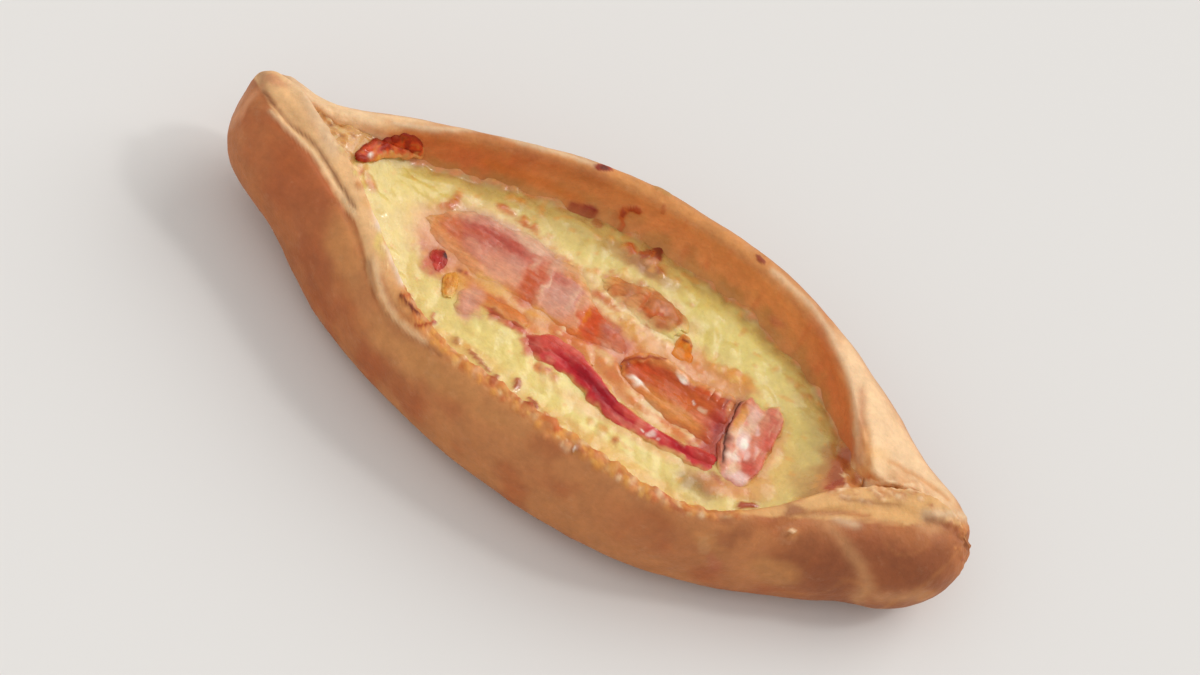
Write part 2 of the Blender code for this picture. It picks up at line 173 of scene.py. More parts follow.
tints = dict(
    wallTan=(193, 125, 73), wallGold=(208, 143, 82), redBrown=(173, 92, 48), bakedBase=(182, 118, 68),
    noseBrown=(146, 80, 44), holeBrown=(96, 44, 26), rust=(184, 98, 48), maroon=(150, 40, 26),
    rimTan=(214, 143, 78), rimCream=(246, 206, 158), edgeTan=(216, 150, 106), flapTan=(238, 190, 134),
    bandTan=(230, 178, 114), veinTan=(208, 152, 100), flouryAndHighlight=(226, 188, 146), innerTan=(224, 146, 84),
    innerRed=(208, 112, 62), innerGold=(222, 160, 86), innerOrange=(216, 124, 52),
    cheese=(231, 208, 126), cheeseLight=(238, 220, 130), cheeseYellow=(226, 202, 106),
    cheeseOlive=(210, 182, 104), cheeseToast=(230, 166, 78), cheeseBrown=(190, 136, 72),
    grease=(232, 186, 98), crumbGold=(226, 152, 66), gold=(226, 156, 60), honey=(218, 142, 70),
    fat=(238, 196, 158), fatAndHighlightWhite=(251, 238, 220), fatYellow=(234, 184, 98), cream=(243, 208, 150),
    peach=(226, 154, 102), apricot=(220, 126, 58), palePink=(226, 162, 122), pinkWhite=(242, 202, 190),
    rosePink=(224, 130, 104), blush=(220, 152, 120), lilac=(210, 152, 130), dusk=(206, 130, 106),
    rosy=(192, 96, 78), mauve=(196, 108, 76), rustRose=(202, 98, 64), rose=(202, 84, 54),
    coral=(208, 84, 68), leanRed=(204, 60, 60), ruby=(200, 46, 44), crimson=(176, 22, 34),
    wine=(134, 8, 24), garnet=(174, 54, 40), darkRed=(132, 36, 22), brick=(206, 76, 32),
    ember=(208, 82, 34), copper=(194, 86, 40), amber=(226, 124, 26), cinnamon=(190, 104, 56),
    toast=(200, 96, 38), brown=(172, 70, 28), umber=(160, 96, 54), bark=(142, 86, 40),
    burnt=(124, 48, 22), char=(74, 26, 14), coal=(50, 12, 12),
)


# The hull has the same named sizes as the solids.
# x, near wall, near rim, middle, far rim, far wall, depth, in mm
hullLines = np.array((
    (-125, -17.0, 5.6, 7.2, 9.7, 17.1, 1.6),
    (-110, -18.9, 2.8, 6.3, 9.9, 18.0, 2.0),
    (-97, -23.4, -2.4, 3.6, 11.5, 20.7, 3.2),
    (-85, -29.5, -7.4, 2.0, 15.7, 24.7, 7.6),
    (-75, -34.4, -15.6, 1.2, 21.4, 28.7, 16.2),
    (-60, -41.7, -28.9, -0.6, 29.0, 35.6, 22.5),
    (-40, -49.8, -41.0, -2.4, 36.9, 44.0, 23.4),
    (-15, -54.5, -45.1, 0.1, 44.2, 51.8, 23.5),
    (15, -56.6, -47.8, -0.8, 45.8, 54.8, 23.5),
    (40, -53.5, -46.6, -2.3, 41.6, 51.6, 23.5),
    (55, -48.6, -40.2, -2.8, 35.5, 47.5, 23.2),
    (68, -43.2, -28.2, -1.8, 25.6, 43.6, 20.9),
    (78, -38.1, -14.6, -2.0, 12.4, 39.4, 12.6),
    (87, -33.9, -6.4, -2.3, 2.0, 33.9, 4.4),
    (100, -26.3, 2.0, 3.5, 5.2, 23.6, 2.1),
    (125, -16.0, 4.8, 6.3, 8.1, 16.8, 1.3),
)) * mm
wallLine, rimLine, middleLine, depthLine = 0, 1, 2, 5
hull = dict(
    halfLength=125 * mm,
    nose=((17 * mm, 2.8), (19.5 * mm, 2.1)),  # length and bluntness of the rounding, at -X and at +X
    chin=((21 * mm, 2.3), (19.5 * mm, 2.1)),  # the same for the underside and the near wall
    noseTipY=(4.6 * mm, 1.2 * mm),
    waistHeight=17 * mm,
    keelLift=(8.5 * mm, 3 * mm),
    keelSink=1.6 * mm,
    crosswiseShift=0.4 * mm,
    rimHeight=38 * mm,
    noseRise=(4.2 * mm, -1 * mm),
    rimRound=2.6 * mm,
    cheeseFill=0.56,
    noseZones=((-68 * mm, -116 * mm), (75 * mm, 118 * mm)),  # where the noses start and are full
    foldZones=((-18 * mm, -52 * mm, -112 * mm, -124 * mm), (60 * mm, 84 * mm, 106 * mm, 118 * mm)),
    tuckZone=(80 * mm, 110 * mm),
    boxyZone=(60 * mm, 105 * mm),
    boxy=(3.4, 2.2, 2.25),  # bluntness of the outside: below the waist, there at the noses, and above it
    innerBluntness=2.5,
    rimFlatness=1.2,
    flatSole=18 * mm,
    farTuck=(8 * mm, 2.6 * mm),
    foldDepth=1.3 * mm,
    foldBelowCrest=8 * mm,
    foldSpread=2.2 * mm,
    warp=1.5 * mm,
    warpLength=40 * mm,
)
warpOffsets = (3.1, 7.7, 1.9), (15.3, 2.2, 9.4), (6.6, 21.8, 13.5)
# points round half of a cross-section: up the outside, over the rim, down to the cheese, and under it.
# Those of the outside crowd towards the rim.
ringSteps = dict(outer=74, roll=12, bare=18, under=5, crowding=1.25)
cheeseEdge = ringSteps["outer"] + ringSteps["roll"] + ringSteps["bare"]
arcSteps = 160


def arc(middle, reach, power, start, stop, count=arcSteps):
    angle = np.radians(np.linspace(start, stop, count))
    cos, sin = np.cos(angle), np.sin(angle)
    across = middle[0] + reach[0] * np.sign(cos) * np.abs(cos) ** (2 / power)
    up = middle[1] + reach[1] * np.sign(sin) * np.abs(sin) ** (2 / power)
    return np.column_stack([across, up])


def spaced(path, shares):
    steps = np.hypot(*np.diff(path, axis=0).T)
    along = np.concatenate([[0], np.cumsum(steps)])
    along /= along[-1]
    return np.column_stack([np.interp(shares, along, path[:, i]) for i in (0, 1)])


def atEnd(pair, x):
    return pair[0] if x < 0 else pair[1]


def cap(x, rounding):
    length, power = atEnd(rounding, x)
    past = min(1.0, max(0.0, abs(x) - (hull["halfLength"] - length)) / length)
    return (1 - past**power) ** (1 / power)


def hullLine(column, x):
    value = curveThrough(hullLines[:, 0], hullLines[:, column + 1], x)
    tip = atEnd(hull["noseTipY"], x) if column != depthLine else 0
    return mix(tip, value, cap(x, hull["chin" if column == wallLine else "nose"]))


def sideLine(column, x, side):
    return hullLine(column if side == nearSide else 4 - column, x)


def heights(x):
    # keel, waist and crest of the hull
    left, right = (ease(*zone, x) for zone in hull["noseZones"])
    keel = hull["keelLift"][0] * left + hull["keelLift"][1] * right - hull["keelSink"]
    crest = hull["rimHeight"] + hull["noseRise"][0] * left + hull["noseRise"][1] * right
    waist = mix(hull["waistHeight"], (keel + crest) / 2, max(left, right))
    return mix(waist, keel, cap(x, hull["chin"])), waist, mix(waist, crest, cap(x, hull["nose"]))


def tuck(x, side):
    if side == nearSide:
        return 0.0
    return atEnd(hull["farTuck"], x) * ease(*hull["tuckZone"], abs(x)) * cap(x, hull["nose"])


def foldStrength(x):
    # how deep the fold under the near rim is there
    return max(ease(*zone[:2], x) * ease(zone[3], zone[2], x) for zone in hull["foldZones"])


def outerWall(x, side):
    keel, waist, crest = heights(x)
    crest = crest - tuck(x, side)
    wallY, crestY = sideLine(wallLine, x, side), sideLine(rimLine, x, side)
    keelY = (hullLine(wallLine, x) + sideLine(wallLine, x, farSide)) / 2
    boxy = mix(*hull["boxy"][:2], ease(*hull["boxyZone"], abs(x)))
    low = arc((keelY, waist), (wallY - keelY, waist - keel), boxy, -90, 0)
    high = arc((crestY, waist), (wallY - crestY, crest - waist), hull["boxy"][2], 0, 90)
    path = np.vstack([low, high[1:]])
    shares = 1 - (1 - np.linspace(0, 1, ringSteps["outer"] + 1)) ** ringSteps["crowding"]
    points = spaced(path, shares)
    if side == nearSide and foldStrength(x) > 0:
        below = (1 - shares) * np.hypot(*np.diff(path, axis=0).T).sum()
        groove = np.exp(-(((below - hull["foldBelowCrest"]) / hull["foldSpread"]) ** 2))
        inwards = np.array([crestY, waist]) - points
        inwards /= np.maximum(np.hypot(*inwards.T), mm)[:, None]
        points += inwards * (hull["foldDepth"] * foldStrength(x) * groove)[:, None]
    return points


def innerWall(x, side):
    middle, crestY = hullLine(middleLine, x), sideLine(rimLine, x, side)
    halfWidth = abs(crestY - middle)
    rounding = hull["rimRound"] * (1 - math.exp(-halfWidth / (1.6 * hull["rimRound"])))
    depth = hullLine(depthLine, x)
    crest = heights(x)[2]
    drop = hull["rimFlatness"] * rounding
    floor = crest - tuck(x, farSide) - drop - depth
    top = crest - tuck(x, side) - drop
    roll = arc((crestY, top), (side * rounding, drop), 2, 90, 180)
    roll = spaced(roll, np.linspace(0, 1, ringSteps["roll"] + 1))
    wall = arc((middle, top), (side * (halfWidth - rounding), top - floor), hull["innerBluntness"], 0, -90)
    level = floor + hull["cheeseFill"] * depth
    split = min(max(np.argmin(np.abs(wall[:, 1] - level)), 2), arcSteps - 3)
    bare = spaced(wall[: split + 1], np.linspace(0, 1, ringSteps["bare"] + 1))
    under = spaced(wall[split:], np.linspace(0, 1, ringSteps["under"] + 1))
    return np.vstack([roll[1:], bare[1:], under[1:]])


def crossSection(x):
    near, far = (np.vstack([outerWall(x, side), innerWall(x, side)]) for side in (nearSide, farSide))
    return np.vstack([near, far[-2:0:-1]])


def stationList(count):
    angles = np.radians(np.linspace(-90, 90, count + 1)[1:-1])
    return hull["halfLength"] * (np.sin(angles) - 0.12 * np.sin(3 * angles)) / 1.12


def warped(places):
    # the slow unevenness of hand-shaped dough, which fades out at the flat underside
    shift = hull["warp"] * sway(places, hull["warpLength"], warpOffsets)
    shift[:, 2] *= ease(0, hull["flatSole"], places[:, 2])
    moved = places + shift
    moved[:, 2] = np.maximum(moved[:, 2], 0)
    moved[:, 1] += hull["crosswiseShift"]
    return moved


def ringSolid(xs, rings, ends):
    # a closed skin through rings of points, made from a sphere whose meridians run along X
    around, bands = len(rings[0]), len(xs) + 1
    bm = bmesh.new()
    bmesh.ops.create_uvsphere(bm, u_segments=around, v_segments=bands, radius=1)
    sphere = placesOf(bm)
    band = np.rint((0.5 + np.arcsin(np.clip(sphere[:, 2], -1, 1)) / math.pi) * bands).astype(int)
    # the sphere's first meridian stands a quarter of a turn on, which needn't be a whole number of slots
    turned = np.arctan2(sphere[:, 1], sphere[:, 0]) / math.tau - 0.25
    slot = np.rint(turned * around).astype(int) % around
    station = np.clip(band - 1, 0, len(xs) - 1)
    places = np.column_stack([np.array(xs)[station], np.array(rings)[station, slot]])
    places[band == 0], places[band == bands] = ends
    moveTo(bm, places)
    bmesh.ops.recalc_face_normals(bm, faces=bm.faces)
    if bm.calc_volume(signed=True) < 0:
        bmesh.ops.reverse_faces(bm, faces=bm.faces)
    return bm, slot


def node(tree, kind, **settings):
    made = tree.nodes.new("ShaderNode" + kind)
    for name, value in settings.items():
        if name in made.inputs:
            made.inputs[name].default_value = value
        else:
            setattr(made, name, value)
    return made


def noiseNode(tree, coordinates, length, detail=3.0, roughness=0.55):
    made = node(tree, "TexNoise")
    made.inputs["Scale"].default_value = 1 / length
    made.inputs["Detail"].default_value = detail
    made.inputs["Roughness"].default_value = roughness
    tree.links.new(coordinates, made.inputs["Vector"])
    return made.outputs["Fac"]


def between(tree, value, fromLow, fromHigh, toLow, toHigh):
    made = node(tree, "MapRange")
    for name, number in (("From Min", fromLow), ("From Max", fromHigh), ("To Min", toLow),
                         ("To Max", toHigh)):
        made.inputs[name].default_value = number
    tree.links.new(value, made.inputs["Value"])
    return made.outputs["Result"]


def mixColour(tree, share, first, second, blend="MIX"):
    made = node(tree, "Mix", data_type="RGBA", blend_type=blend)
    for socket, given in ((made.inputs[0], share), (made.inputs[6], first), (made.inputs[7], second)):
        if isinstance(given, (int, float)):
            socket.default_value = given
        elif isinstance(given, tuple):
            socket.default_value = (*given, 1)
        else:
            tree.links.new(given, socket)
    return made.outputs[2]


def timesAll(tree, colour, *factors):
    for factor in factors:
        colour = mixColour(tree, 1.0, colour, factor, "MULTIPLY")
    return colour


def addBumps(tree, shader, layers):
    # layers of fine relief: a value, and its height in metres
    last = None
    for value, height in layers:
        bump = node(tree, "Bump")
        bump.inputs["Strength"].default_value = 1
        bump.inputs["Distance"].default_value = height
        tree.links.new(value, bump.inputs["Height"])
        if last:
            tree.links.new(last, bump.inputs["Normal"])
        last = bump.outputs["Normal"]
    tree.links.new(last, shader.inputs["Normal"])


def newMaterial(name, spec):
    material = bpy.data.materials.new(name)
    material.use_nodes = True
    tree = material.node_tree
    shader = tree.nodes["Principled BSDF"]
    for socket, value in spec.items():
        shader.inputs[socket].default_value = value
    coordinates = node(tree, "TexCoord").outputs["Object"]
    tone = node(tree, "Attribute", attribute_name="tone").outputs["Color"]
    return material, tree, shader, coordinates, tone


def stretched(tree, coordinates, turn, squeeze):
    # coordinates in which a pattern runs out long along a direction, for grain and streaks
    mapping = node(tree, "Mapping", vector_type="POINT")
    mapping.inputs["Rotation"].default_value = [math.radians(a) for a in turn]
    mapping.inputs["Scale"].default_value = squeeze
    tree.links.new(coordinates, mapping.inputs["Vector"])
    return mapping.outputs["Vector"]


def crustMaterial():
    material, tree, shader, at, tone = newMaterial("baked dough", {
        "Subsurface Weight": 0.12, "Subsurface Radius": (1.0, 0.45, 0.2), "Subsurface Scale": 0.0015,
        "Specular IOR Level": 0.28, "Coat Weight": 0.03, "Coat Roughness": 0.4})
    patches = between(tree, noiseNode(tree, at, 9 * mm, 4), 0.36, 0.64, 0.93, 1.06)
    mottle = between(tree, noiseNode(tree, at, 2.6 * mm, 5, 0.6), 0.35, 0.65, 0.93, 1.06)
    colour = timesAll(tree, tone, patches, mottle)
    # pores and tiny baked specks
    dark = between(tree, noiseNode(tree, at, 0.6 * mm, 2), 0.62, 0.72, 0.0, 0.12)
    colour = mixColour(tree, dark, colour, tuple(linear(tints["noseBrown"])))
    # a thin dusting of flour where the dough was least browned
    flour = between(tree, noiseNode(tree, at, 5 * mm, 6, 0.7), 0.58, 0.74, 0.0, 0.12)
    colour = mixColour(tree, flour, colour, tuple(linear(tints["flouryAndHighlight"])))
    tree.links.new(colour, shader.inputs["Base Color"])
    dull = between(tree, noiseNode(tree, at, 6 * mm, 4), 0.3, 0.7, 0.5, 0.68)
    tree.links.new(dull, shader.inputs["Roughness"])
    addBumps(tree, shader, (
        (noiseNode(tree, at, 3.2 * mm, 3), 0.5 * mm),
        (noiseNode(tree, at, 0.9 * mm, 4, 0.6), 0.16 * mm),
        (dark, -0.05 * mm)))
    return material


def cheeseMaterial():
    material, tree, shader, at, tone = newMaterial("melted cheese", {
        "Subsurface Weight": 0.35, "Subsurface Radius": (1.0, 0.7, 0.28), "Subsurface Scale": 0.0025,
        "Coat Weight": 0.5, "Coat Roughness": 0.16, "IOR": 1.45})
    patches = between(tree, noiseNode(tree, at, 4.5 * mm, 3), 0.35, 0.65, 0.95, 1.05)
    curds = between(tree, noiseNode(tree, at, 1.6 * mm, 3, 0.5), 0.35, 0.65, 0.96, 1.04)
    tree.links.new(timesAll(tree, tone, patches, curds), shader.inputs["Base Color"])
    wet = between(tree, noiseNode(tree, at, 3 * mm, 3), 0.4, 0.6, 0.24, 0.48)
    tree.links.new(wet, shader.inputs["Roughness"])
    addBumps(tree, shader, (
        (noiseNode(tree, at, 2.4 * mm, 2), 0.25 * mm),
        (noiseNode(tree, at, 0.8 * mm, 2), 0.03 * mm)))
    return material


def baconMaterial(name, turn=0.0, gloss=0.28, soft=0.2, coat=0.22):
    material, tree, shader, at, tone = newMaterial(name, {
        "Subsurface Weight": soft, "Subsurface Radius": (1.0, 0.35, 0.25), "Subsurface Scale": 0.0018,
        "Specular IOR Level": 0.14, "Coat Weight": coat, "Coat Roughness": 0.05, "IOR": 1.45})
    grain = stretched(tree, at, (0, 0, turn), (0.4, 1, 1))
    streaks = between(tree, noiseNode(tree, grain, 1.1 * mm, 4, 0.6), 0.32, 0.68, 0.9, 1.09)
    patches = between(tree, noiseNode(tree, at, 2.4 * mm, 4), 0.35, 0.65, 0.92, 1.06)
    tree.links.new(timesAll(tree, tone, streaks, patches), shader.inputs["Base Color"])
    wet = between(tree, noiseNode(tree, at, 2.2 * mm, 3), 0.4, 0.6, gloss - 0.06, gloss + 0.2)
    tree.links.new(wet, shader.inputs["Roughness"])
    addBumps(tree, shader, (
        (noiseNode(tree, grain, 1.8 * mm, 3, 0.5), 0.5 * mm),
        (noiseNode(tree, at, 0.7 * mm, 2), 0.07 * mm)))
    return material


# Relief of the dough in mm: a line through x, y, z, how wide it is, and how far it stands out
crustLines = dict(
    seamPress=dict(path=((-106, 18.5, 27), (-100, 19.5, 25)), wide=7, up=-2.6),
    cornerBump=dict(path=((-121, 8, 36), (-119, 6, 38)), wide=5, up=1.5),
    wallPit=dict(path=((10.6, -50.1, 37.3), (10.9, -50.2, 37.2)), wide=0.9, up=-0.9),
    wallPitRing=dict(path=((10.6, -50.1, 37.3), (10.9, -50.2, 37.2)), wide=2.2, up=0.35),
    wallBlister=dict(path=((74.3, -31.2, 34.3), (75, -30.9, 34.2)), wide=1.1, up=0.7),
)
# swells of the dough in mm: height, size, and offset of the noise
crustSwells = (0.42, 17, 4.0), (0.16, 5.5, 9.0), (0.05, 1.9, 2.0)
# the toasted, bubbly filling baked onto the near rim, in mm: its band in from the crest, and where along X
# its relief and its colour fade in and out
rimToast = dict(band=(0.6, 5.5), tintBand=(-1.6, 5.5), soft=0.8, above=27, up=1.0, bubble=2.4,
                reliefZone=(-52, -36, 48, 62), tintZone=(-58, -44, 52, 66))
# the crumbly seams of both noses, and the tip of the right one, in mm
seams = (
    dict(start=86, full=92, middle=2.5, half=5, up=0.7),
    dict(start=-88, full=-94, middle=9.5, half=4, up=0.6),
)
crumblyTip = dict(at=(119, 6), half=(5, 6), up=0.4)


def rimBand(places, low, high):
    # 1 in a band along the near rim, low to high mm in from its crest
    x, y, z = places.T
    into = (y - np.interp(x, rimXs, rimYs)) / mm
    soft = rimToast["soft"]
    inBand = ease(low - soft, low + soft, into) * ease(high + soft, high - soft, into)
    return inBand * (z > rimToast["above"] * mm)


rimXs = np.linspace(-100, 100, 81) * mm
rimYs = np.array([hullLine(rimLine, x) for x in rimXs])


def rimZone(x, zone):
    # fades in between the first two places of the zone and out between the last two
    return ease(zone[0] * mm, zone[1] * mm, x) * ease(zone[3] * mm, zone[2] * mm, x)


def crustBumps(places, normals, side):
    # how far the surface stands out from the plain hull, in metres
    x, y = places[:, 0], places[:, 1]
    up = sum(high * mm * noiseAt(places, size * mm, offset) for high, size, offset in crustSwells)
    seen = warped(places)
    for line in crustLines.values():
        up += nearLine(seen, line["path"], line["wide"]) * line["up"] * mm
    crusty = rimBand(places, *rimToast["band"]) * (side == nearSide) * rimZone(x, rimToast["reliefZone"])
    bubbles = np.clip(noiseAt(places, rimToast["bubble"] * mm, 4.0) + 0.15, 0, 1)
    up += rimToast["up"] * mm * crusty * bubbles
    rough = noiseAt(places, 3.2 * mm, 6.0) + 0.6 * noiseAt(places, 1.5 * mm, 1.0)
    for seam in seams:
        along = ease(seam["start"] * mm, seam["full"] * mm, x)
        across = np.exp(-(((y / mm - seam["middle"]) / seam["half"]) ** 2))
        up += seam["up"] * mm * along * across * (normals[:, 2] > 0) * rough
    away = (places[:, :2] / mm - crumblyTip["at"]) / crumblyTip["half"]
    up += crumblyTip["up"] * mm * np.exp(-(away**2).sum(axis=1)) * rough
    return up


# Stains on the dough as the viewer sees them, and some pale spots of painted light in its hollows, laid out
# as in paintSpots
crustSpots = (
    (-123.2, 1.7, 11, 1.7, 90, "edgeTan", 0.7, 0.6), (-111.8, -8.5, 11, 5.4, -47, "redBrown", 0.5, 0.6),
    (-101.9, -6.3, 11.1, 4.2, -34, "rust", 0.8, 0.5), (-93.5, -17.2, 13.5, 8.8, -45, "redBrown", 0.6, 0.6),
    (-81.8, -35.1, 10.6, 7.7, -36, "noseBrown", 0.3, 0.6),
    (-47.3, -51.2, 17.6, 3.6, -15, "redBrown", 0.5, 0.6),
    (-75.2, -23, 12.7, 4.9, -55, "wallGold", 0.6, 0.6), (-36.2, -42.1, 21.5, 4.8, -3, "wallGold", 0.7, 0.7),
    (-13.6, -42.8, 17.4, 3.3, 0, "wallGold", 0.3, 0.7), (42.8, -50.1, 17.4, 8.1, 8, "redBrown", 0.35, 0.7),
    (61.6, -36.5, 8.4, 3.1, 66, "noseBrown", 0.6, 0.6), (56.6, -30.8, 2.6, 2.6, 0, "noseBrown", 0.5, 0.6),
    (74.6, -16.5, 4.9, 2.1, 34, "noseBrown", 0.8, 0.5), (71.3, -13.2, 3.4, 1.4, 36, "mauve", 0.5, 0.6),
    (89, -28, 12, 10.1, 25, "noseBrown", 0.7, 0.7), (79.7, -30.8, 11.5, 6, 74, "noseBrown", 0.55, 0.7),
    (115.5, -6.3, 10.1, 4.2, 74, "noseBrown", 0.8, 0.7),
    (104.1, -13.6, 10.8, 7.2, 25, "noseBrown", 0.5, 0.7), (77.1, -38.6, 7.9, 3.6, 29, "wallGold", 0.6, 0.6),
    (55.7, -42.1, 5.2, 2.9, 0, "wallGold", 0.5, 0.7), (61.2, -46.3, 2.4, 1.8, 25, "mauve", 0.5, 0.6),
    (109.8, 5.4, 5, 2.4, 36, "veinTan", 0.7, 0.6), (-120.7, 16.6, 3.5, 1.8, 13, "edgeTan", 0.8, 0.5),
    (-104.4, 12.1, 6.8, 2.1, -34, "peach", 0.35, 0.6),
    (-100.1, 14.3, 4.1, 2.2, -13, "cheeseOlive", 0.5, 0.6),
    # these two pale spots by the cheese at the left rim are clinging cheese, partly painted highlight
    (-76.1, -2.7, 3.3, 1.7, -52, "innerGold", 0.5, 0.6),
    (-68.4, -12.9, 4.6, 1.7, -52, "cheeseYellow", 0.6, 0.6), (42, 39.7, 2.9, 1.8, 0, "mauve", 0.5, 0.6),
    (-14.2, 37.4, 17.4, 2.2, 0, "rimTan", 0.4, 0.7), (97, 14.7, 7.6, 2.2, 13, "rimTan", 0.5, 0.6),
    # the pale spots at x 85 and 88.7 by the right seam, and at x -94.3 and -85.1 in the left pocket, are
    # painted light over the shade of those hollows
    (79, 4.7, 2.2, 7, 0, "rust", 0.6, 0.5), (85, 12, 3.4, 7, -30, "bandTan", 0.9, 0.6),
    (88.7, 12.8, 4.5, 2.4, -47, "rimCream", 0.6, 0.7), (-94.3, 19.6, 10.9, 3.9, 27, "rimCream", 0.92, 0.4),
    (-85.1, 23.7, 4.4, 2.4, 36, "flapTan", 0.6, 0.6),
)
# the same with crisp edges: a burnt oval on the far wall, a pit and a blister in the near one
crispSpots = (
    (-24.4, 37.8, 4.8, 2.2, 25, "maroon", 0.97, 0.2), (-23.4, 38.2, 2.7, 0.7, 25, "rust", 0.7, 0.6),
    (-27.8, 35.9, 1.2, 1.1, 25, "brown", 0.6, 0.6), (10.5, -38.6, 1.4, 1.6, 0, "noseBrown", 0.55, 0.5),
    (10.5, -38.2, 0.7, 0.8, 0, "fatAndHighlightWhite", 0.9, 0.4), (76, -23.3, 1.8, 1.8, 25, "rimTan", 0.6, 0.6),
    (75.4, -24, 1.2, 1.1, 25, "holeBrown", 0.5, 0.6), (76, -22.6, 0.9, 0.8, 25, "rimCream", 0.95, 0.5),
)
# Folds, veins and streaks in the dough as the viewer sees them, some of them painted shade and painted
# highlight, in mm:
# a path of x and y, half width, how far they stand out, tint and strength
crustStreaks = (
    # the fold across the left nose: painted shade in its groove, painted highlight on the thin ridge below
    # it, and painted shade under that
    (((-120.7, 11.4), (-115.8, 8.8), (-108.4, 6.2), (-99.6, 4.7), (-93.6, 1), (-86.7, -3.4),
     (-80.2, -7.1)), 0.6, -0.55, "noseBrown", 0.65),
    (((-115.7, 6.2), (-107.4, 3.6), (-99.5, 2.1), (-94.4, -0.8), (-87.5, -4.9),
     (-79, -9.3)), 0.7, 0.5, "rimCream", 0.7),
    (((-112.6, 3.6), (-103.8, 1), (-97.9, -0.8), (-94.3, -3), (-86.5, -7.4)), 0.84, -0.4, "rust", 0.6),
    (((-123.9, 15.8), (-121.9, 11.7), (-118.2, 9.1)), 1.29, -0.4, "noseBrown", 0.5),
    (((-117.2, 20.7), (-111.2, 18.5), (-105.1, 14), (-99.9, 10.6), (-94.8, 6.5)), 1.94, 0.5, "flouryAndHighlight", 0.8),
    # the same fold along the near wall: painted shade in the groove, painted highlight on the ridge, painted
    # shade under it
    (((-67.5, -21.5), (-62.1, -28.7), (-55.7, -33.7), (-47.7, -36.1),
     (-36.3, -35.8)), 0.84, -0.5, "noseBrown", 0.45),
    (((-66.4, -20.1), (-59.3, -28), (-52, -33.3), (-42, -34.7)), 0.97, 0.4, "rimCream", 0.6),
    (((-62.3, -23), (-55.8, -29.4), (-48.4, -31.5)), 0.65, -0.3, "rust", 0.45),
    # cheese clinging to the inside of the left rim, painted near white, partly as painted highlight on it
    (((-78.9, 2.5), (-74.6, -3), (-70.6, -8.5)), 1.1, 0.5, "fatAndHighlightWhite", 0.8),
    (((-64.7, -12.9), (-60.3, -16.9), (-56.4, -20.5)), 1.1, 0.5, "fatAndHighlightWhite", 0.8),
    (((91.3, 17.7), (97.2, 18.5), (104.5, 18.8), (111.2, 17.7)), 0.77, -0.3, "rimTan", 0.7),
    (((107.7, 8), (112.9, 12.5), (118.6, 15.5)), 1.45, 0.5, "flouryAndHighlight", 0.9),
    (((78.8, -13.2), (85.7, -7.4), (93.1, -3)), 0.71, -0.4, "redBrown", 0.6),
    (((84.4, -3), (91.9, 1.4), (99.4, 5.8)), 0.65, -0.3, "noseBrown", 0.45),
    (((90, -7.1), (96.6, -3), (102.6, 0.3)), 0.71, -0.3, "redBrown", 0.5),
    (((85.5, -10.7), (91.1, -8.5)), 1.29, 0.3, "flouryAndHighlight", 0.7),
    (((108.7, 6.9), (112.6, 8.8), (117.1, 9.5), (119.8, 7.3)), 1.1, -0.5, "noseBrown", 0.6),
    (((121.8, 10.2), (123.8, 5.8)), 0.97, -0.6, "holeBrown", 0.5),
    (((79.7, -12.9), (85.4, -14), (91, -16.5), (97.9, -20.1), (102.8, -25.1),
     (101.6, -30.8)), 1.94, 0, "veinTan", 0.5),
    (((106.7, -26.5), (112.2, -21.9), (117.7, -16.5)), 1.29, 0, "veinTan", 0.4),
    (((-73.2, 32.8), (-64.6, 40.5), (-49.9, 43.9), (-38.1, 47.4), (-24.7, 50.5)), 2.58, 0, "redBrown",
     0.45),
    (((-55.5, 33.2), (-37.9, 37.8), (-26.1, 39.3)), 1.61, 0, "innerOrange", 0.6),
    (((52.6, 47.8), (62.7, 36.3), (72.5, 24.1), (78, 14.3)), 2.9, 0, "innerRed", 0.5),
    (((3.5, 36.3), (15.4, 35.9), (27.2, 36.6)), 1.61, 0, "cheeseBrown", 0.6),
    # a thin pale line along the far crest, in three parts: painted highlight
    (((-84.7, 27.1), (-76.1, 31.7), (-68.9, 37.4), (-61.7, 43.9), (-49.9, 47), (-38.1, 51.7),
     (-26.3, 55.2)), 0.9, 0.2, "flouryAndHighlight", 0.85),
    (((-14.4, 57.9), (3.6, 59.1), (21.5, 58.7)), 0.77, 0.2, "rimTan", 0.6),
    (((33.5, 56), (48.3, 52.5), (57.1, 47.8), (67.2, 39.3), (72.8, 31.7), (78.3, 21.1),
     (83.7, 12.1)), 1.1, 0.4, "flouryAndHighlight", 0.75),
    (((73.9, 35.5), (77.1, 28.6), (79.3, 24.1)), 1.13, -0.4, "redBrown", 0.5),
    (((80.7, 23.7), (83.1, 18.8), (85.8, 12.9)), 1.0, -0.5, "rimTan", 0.6),
)
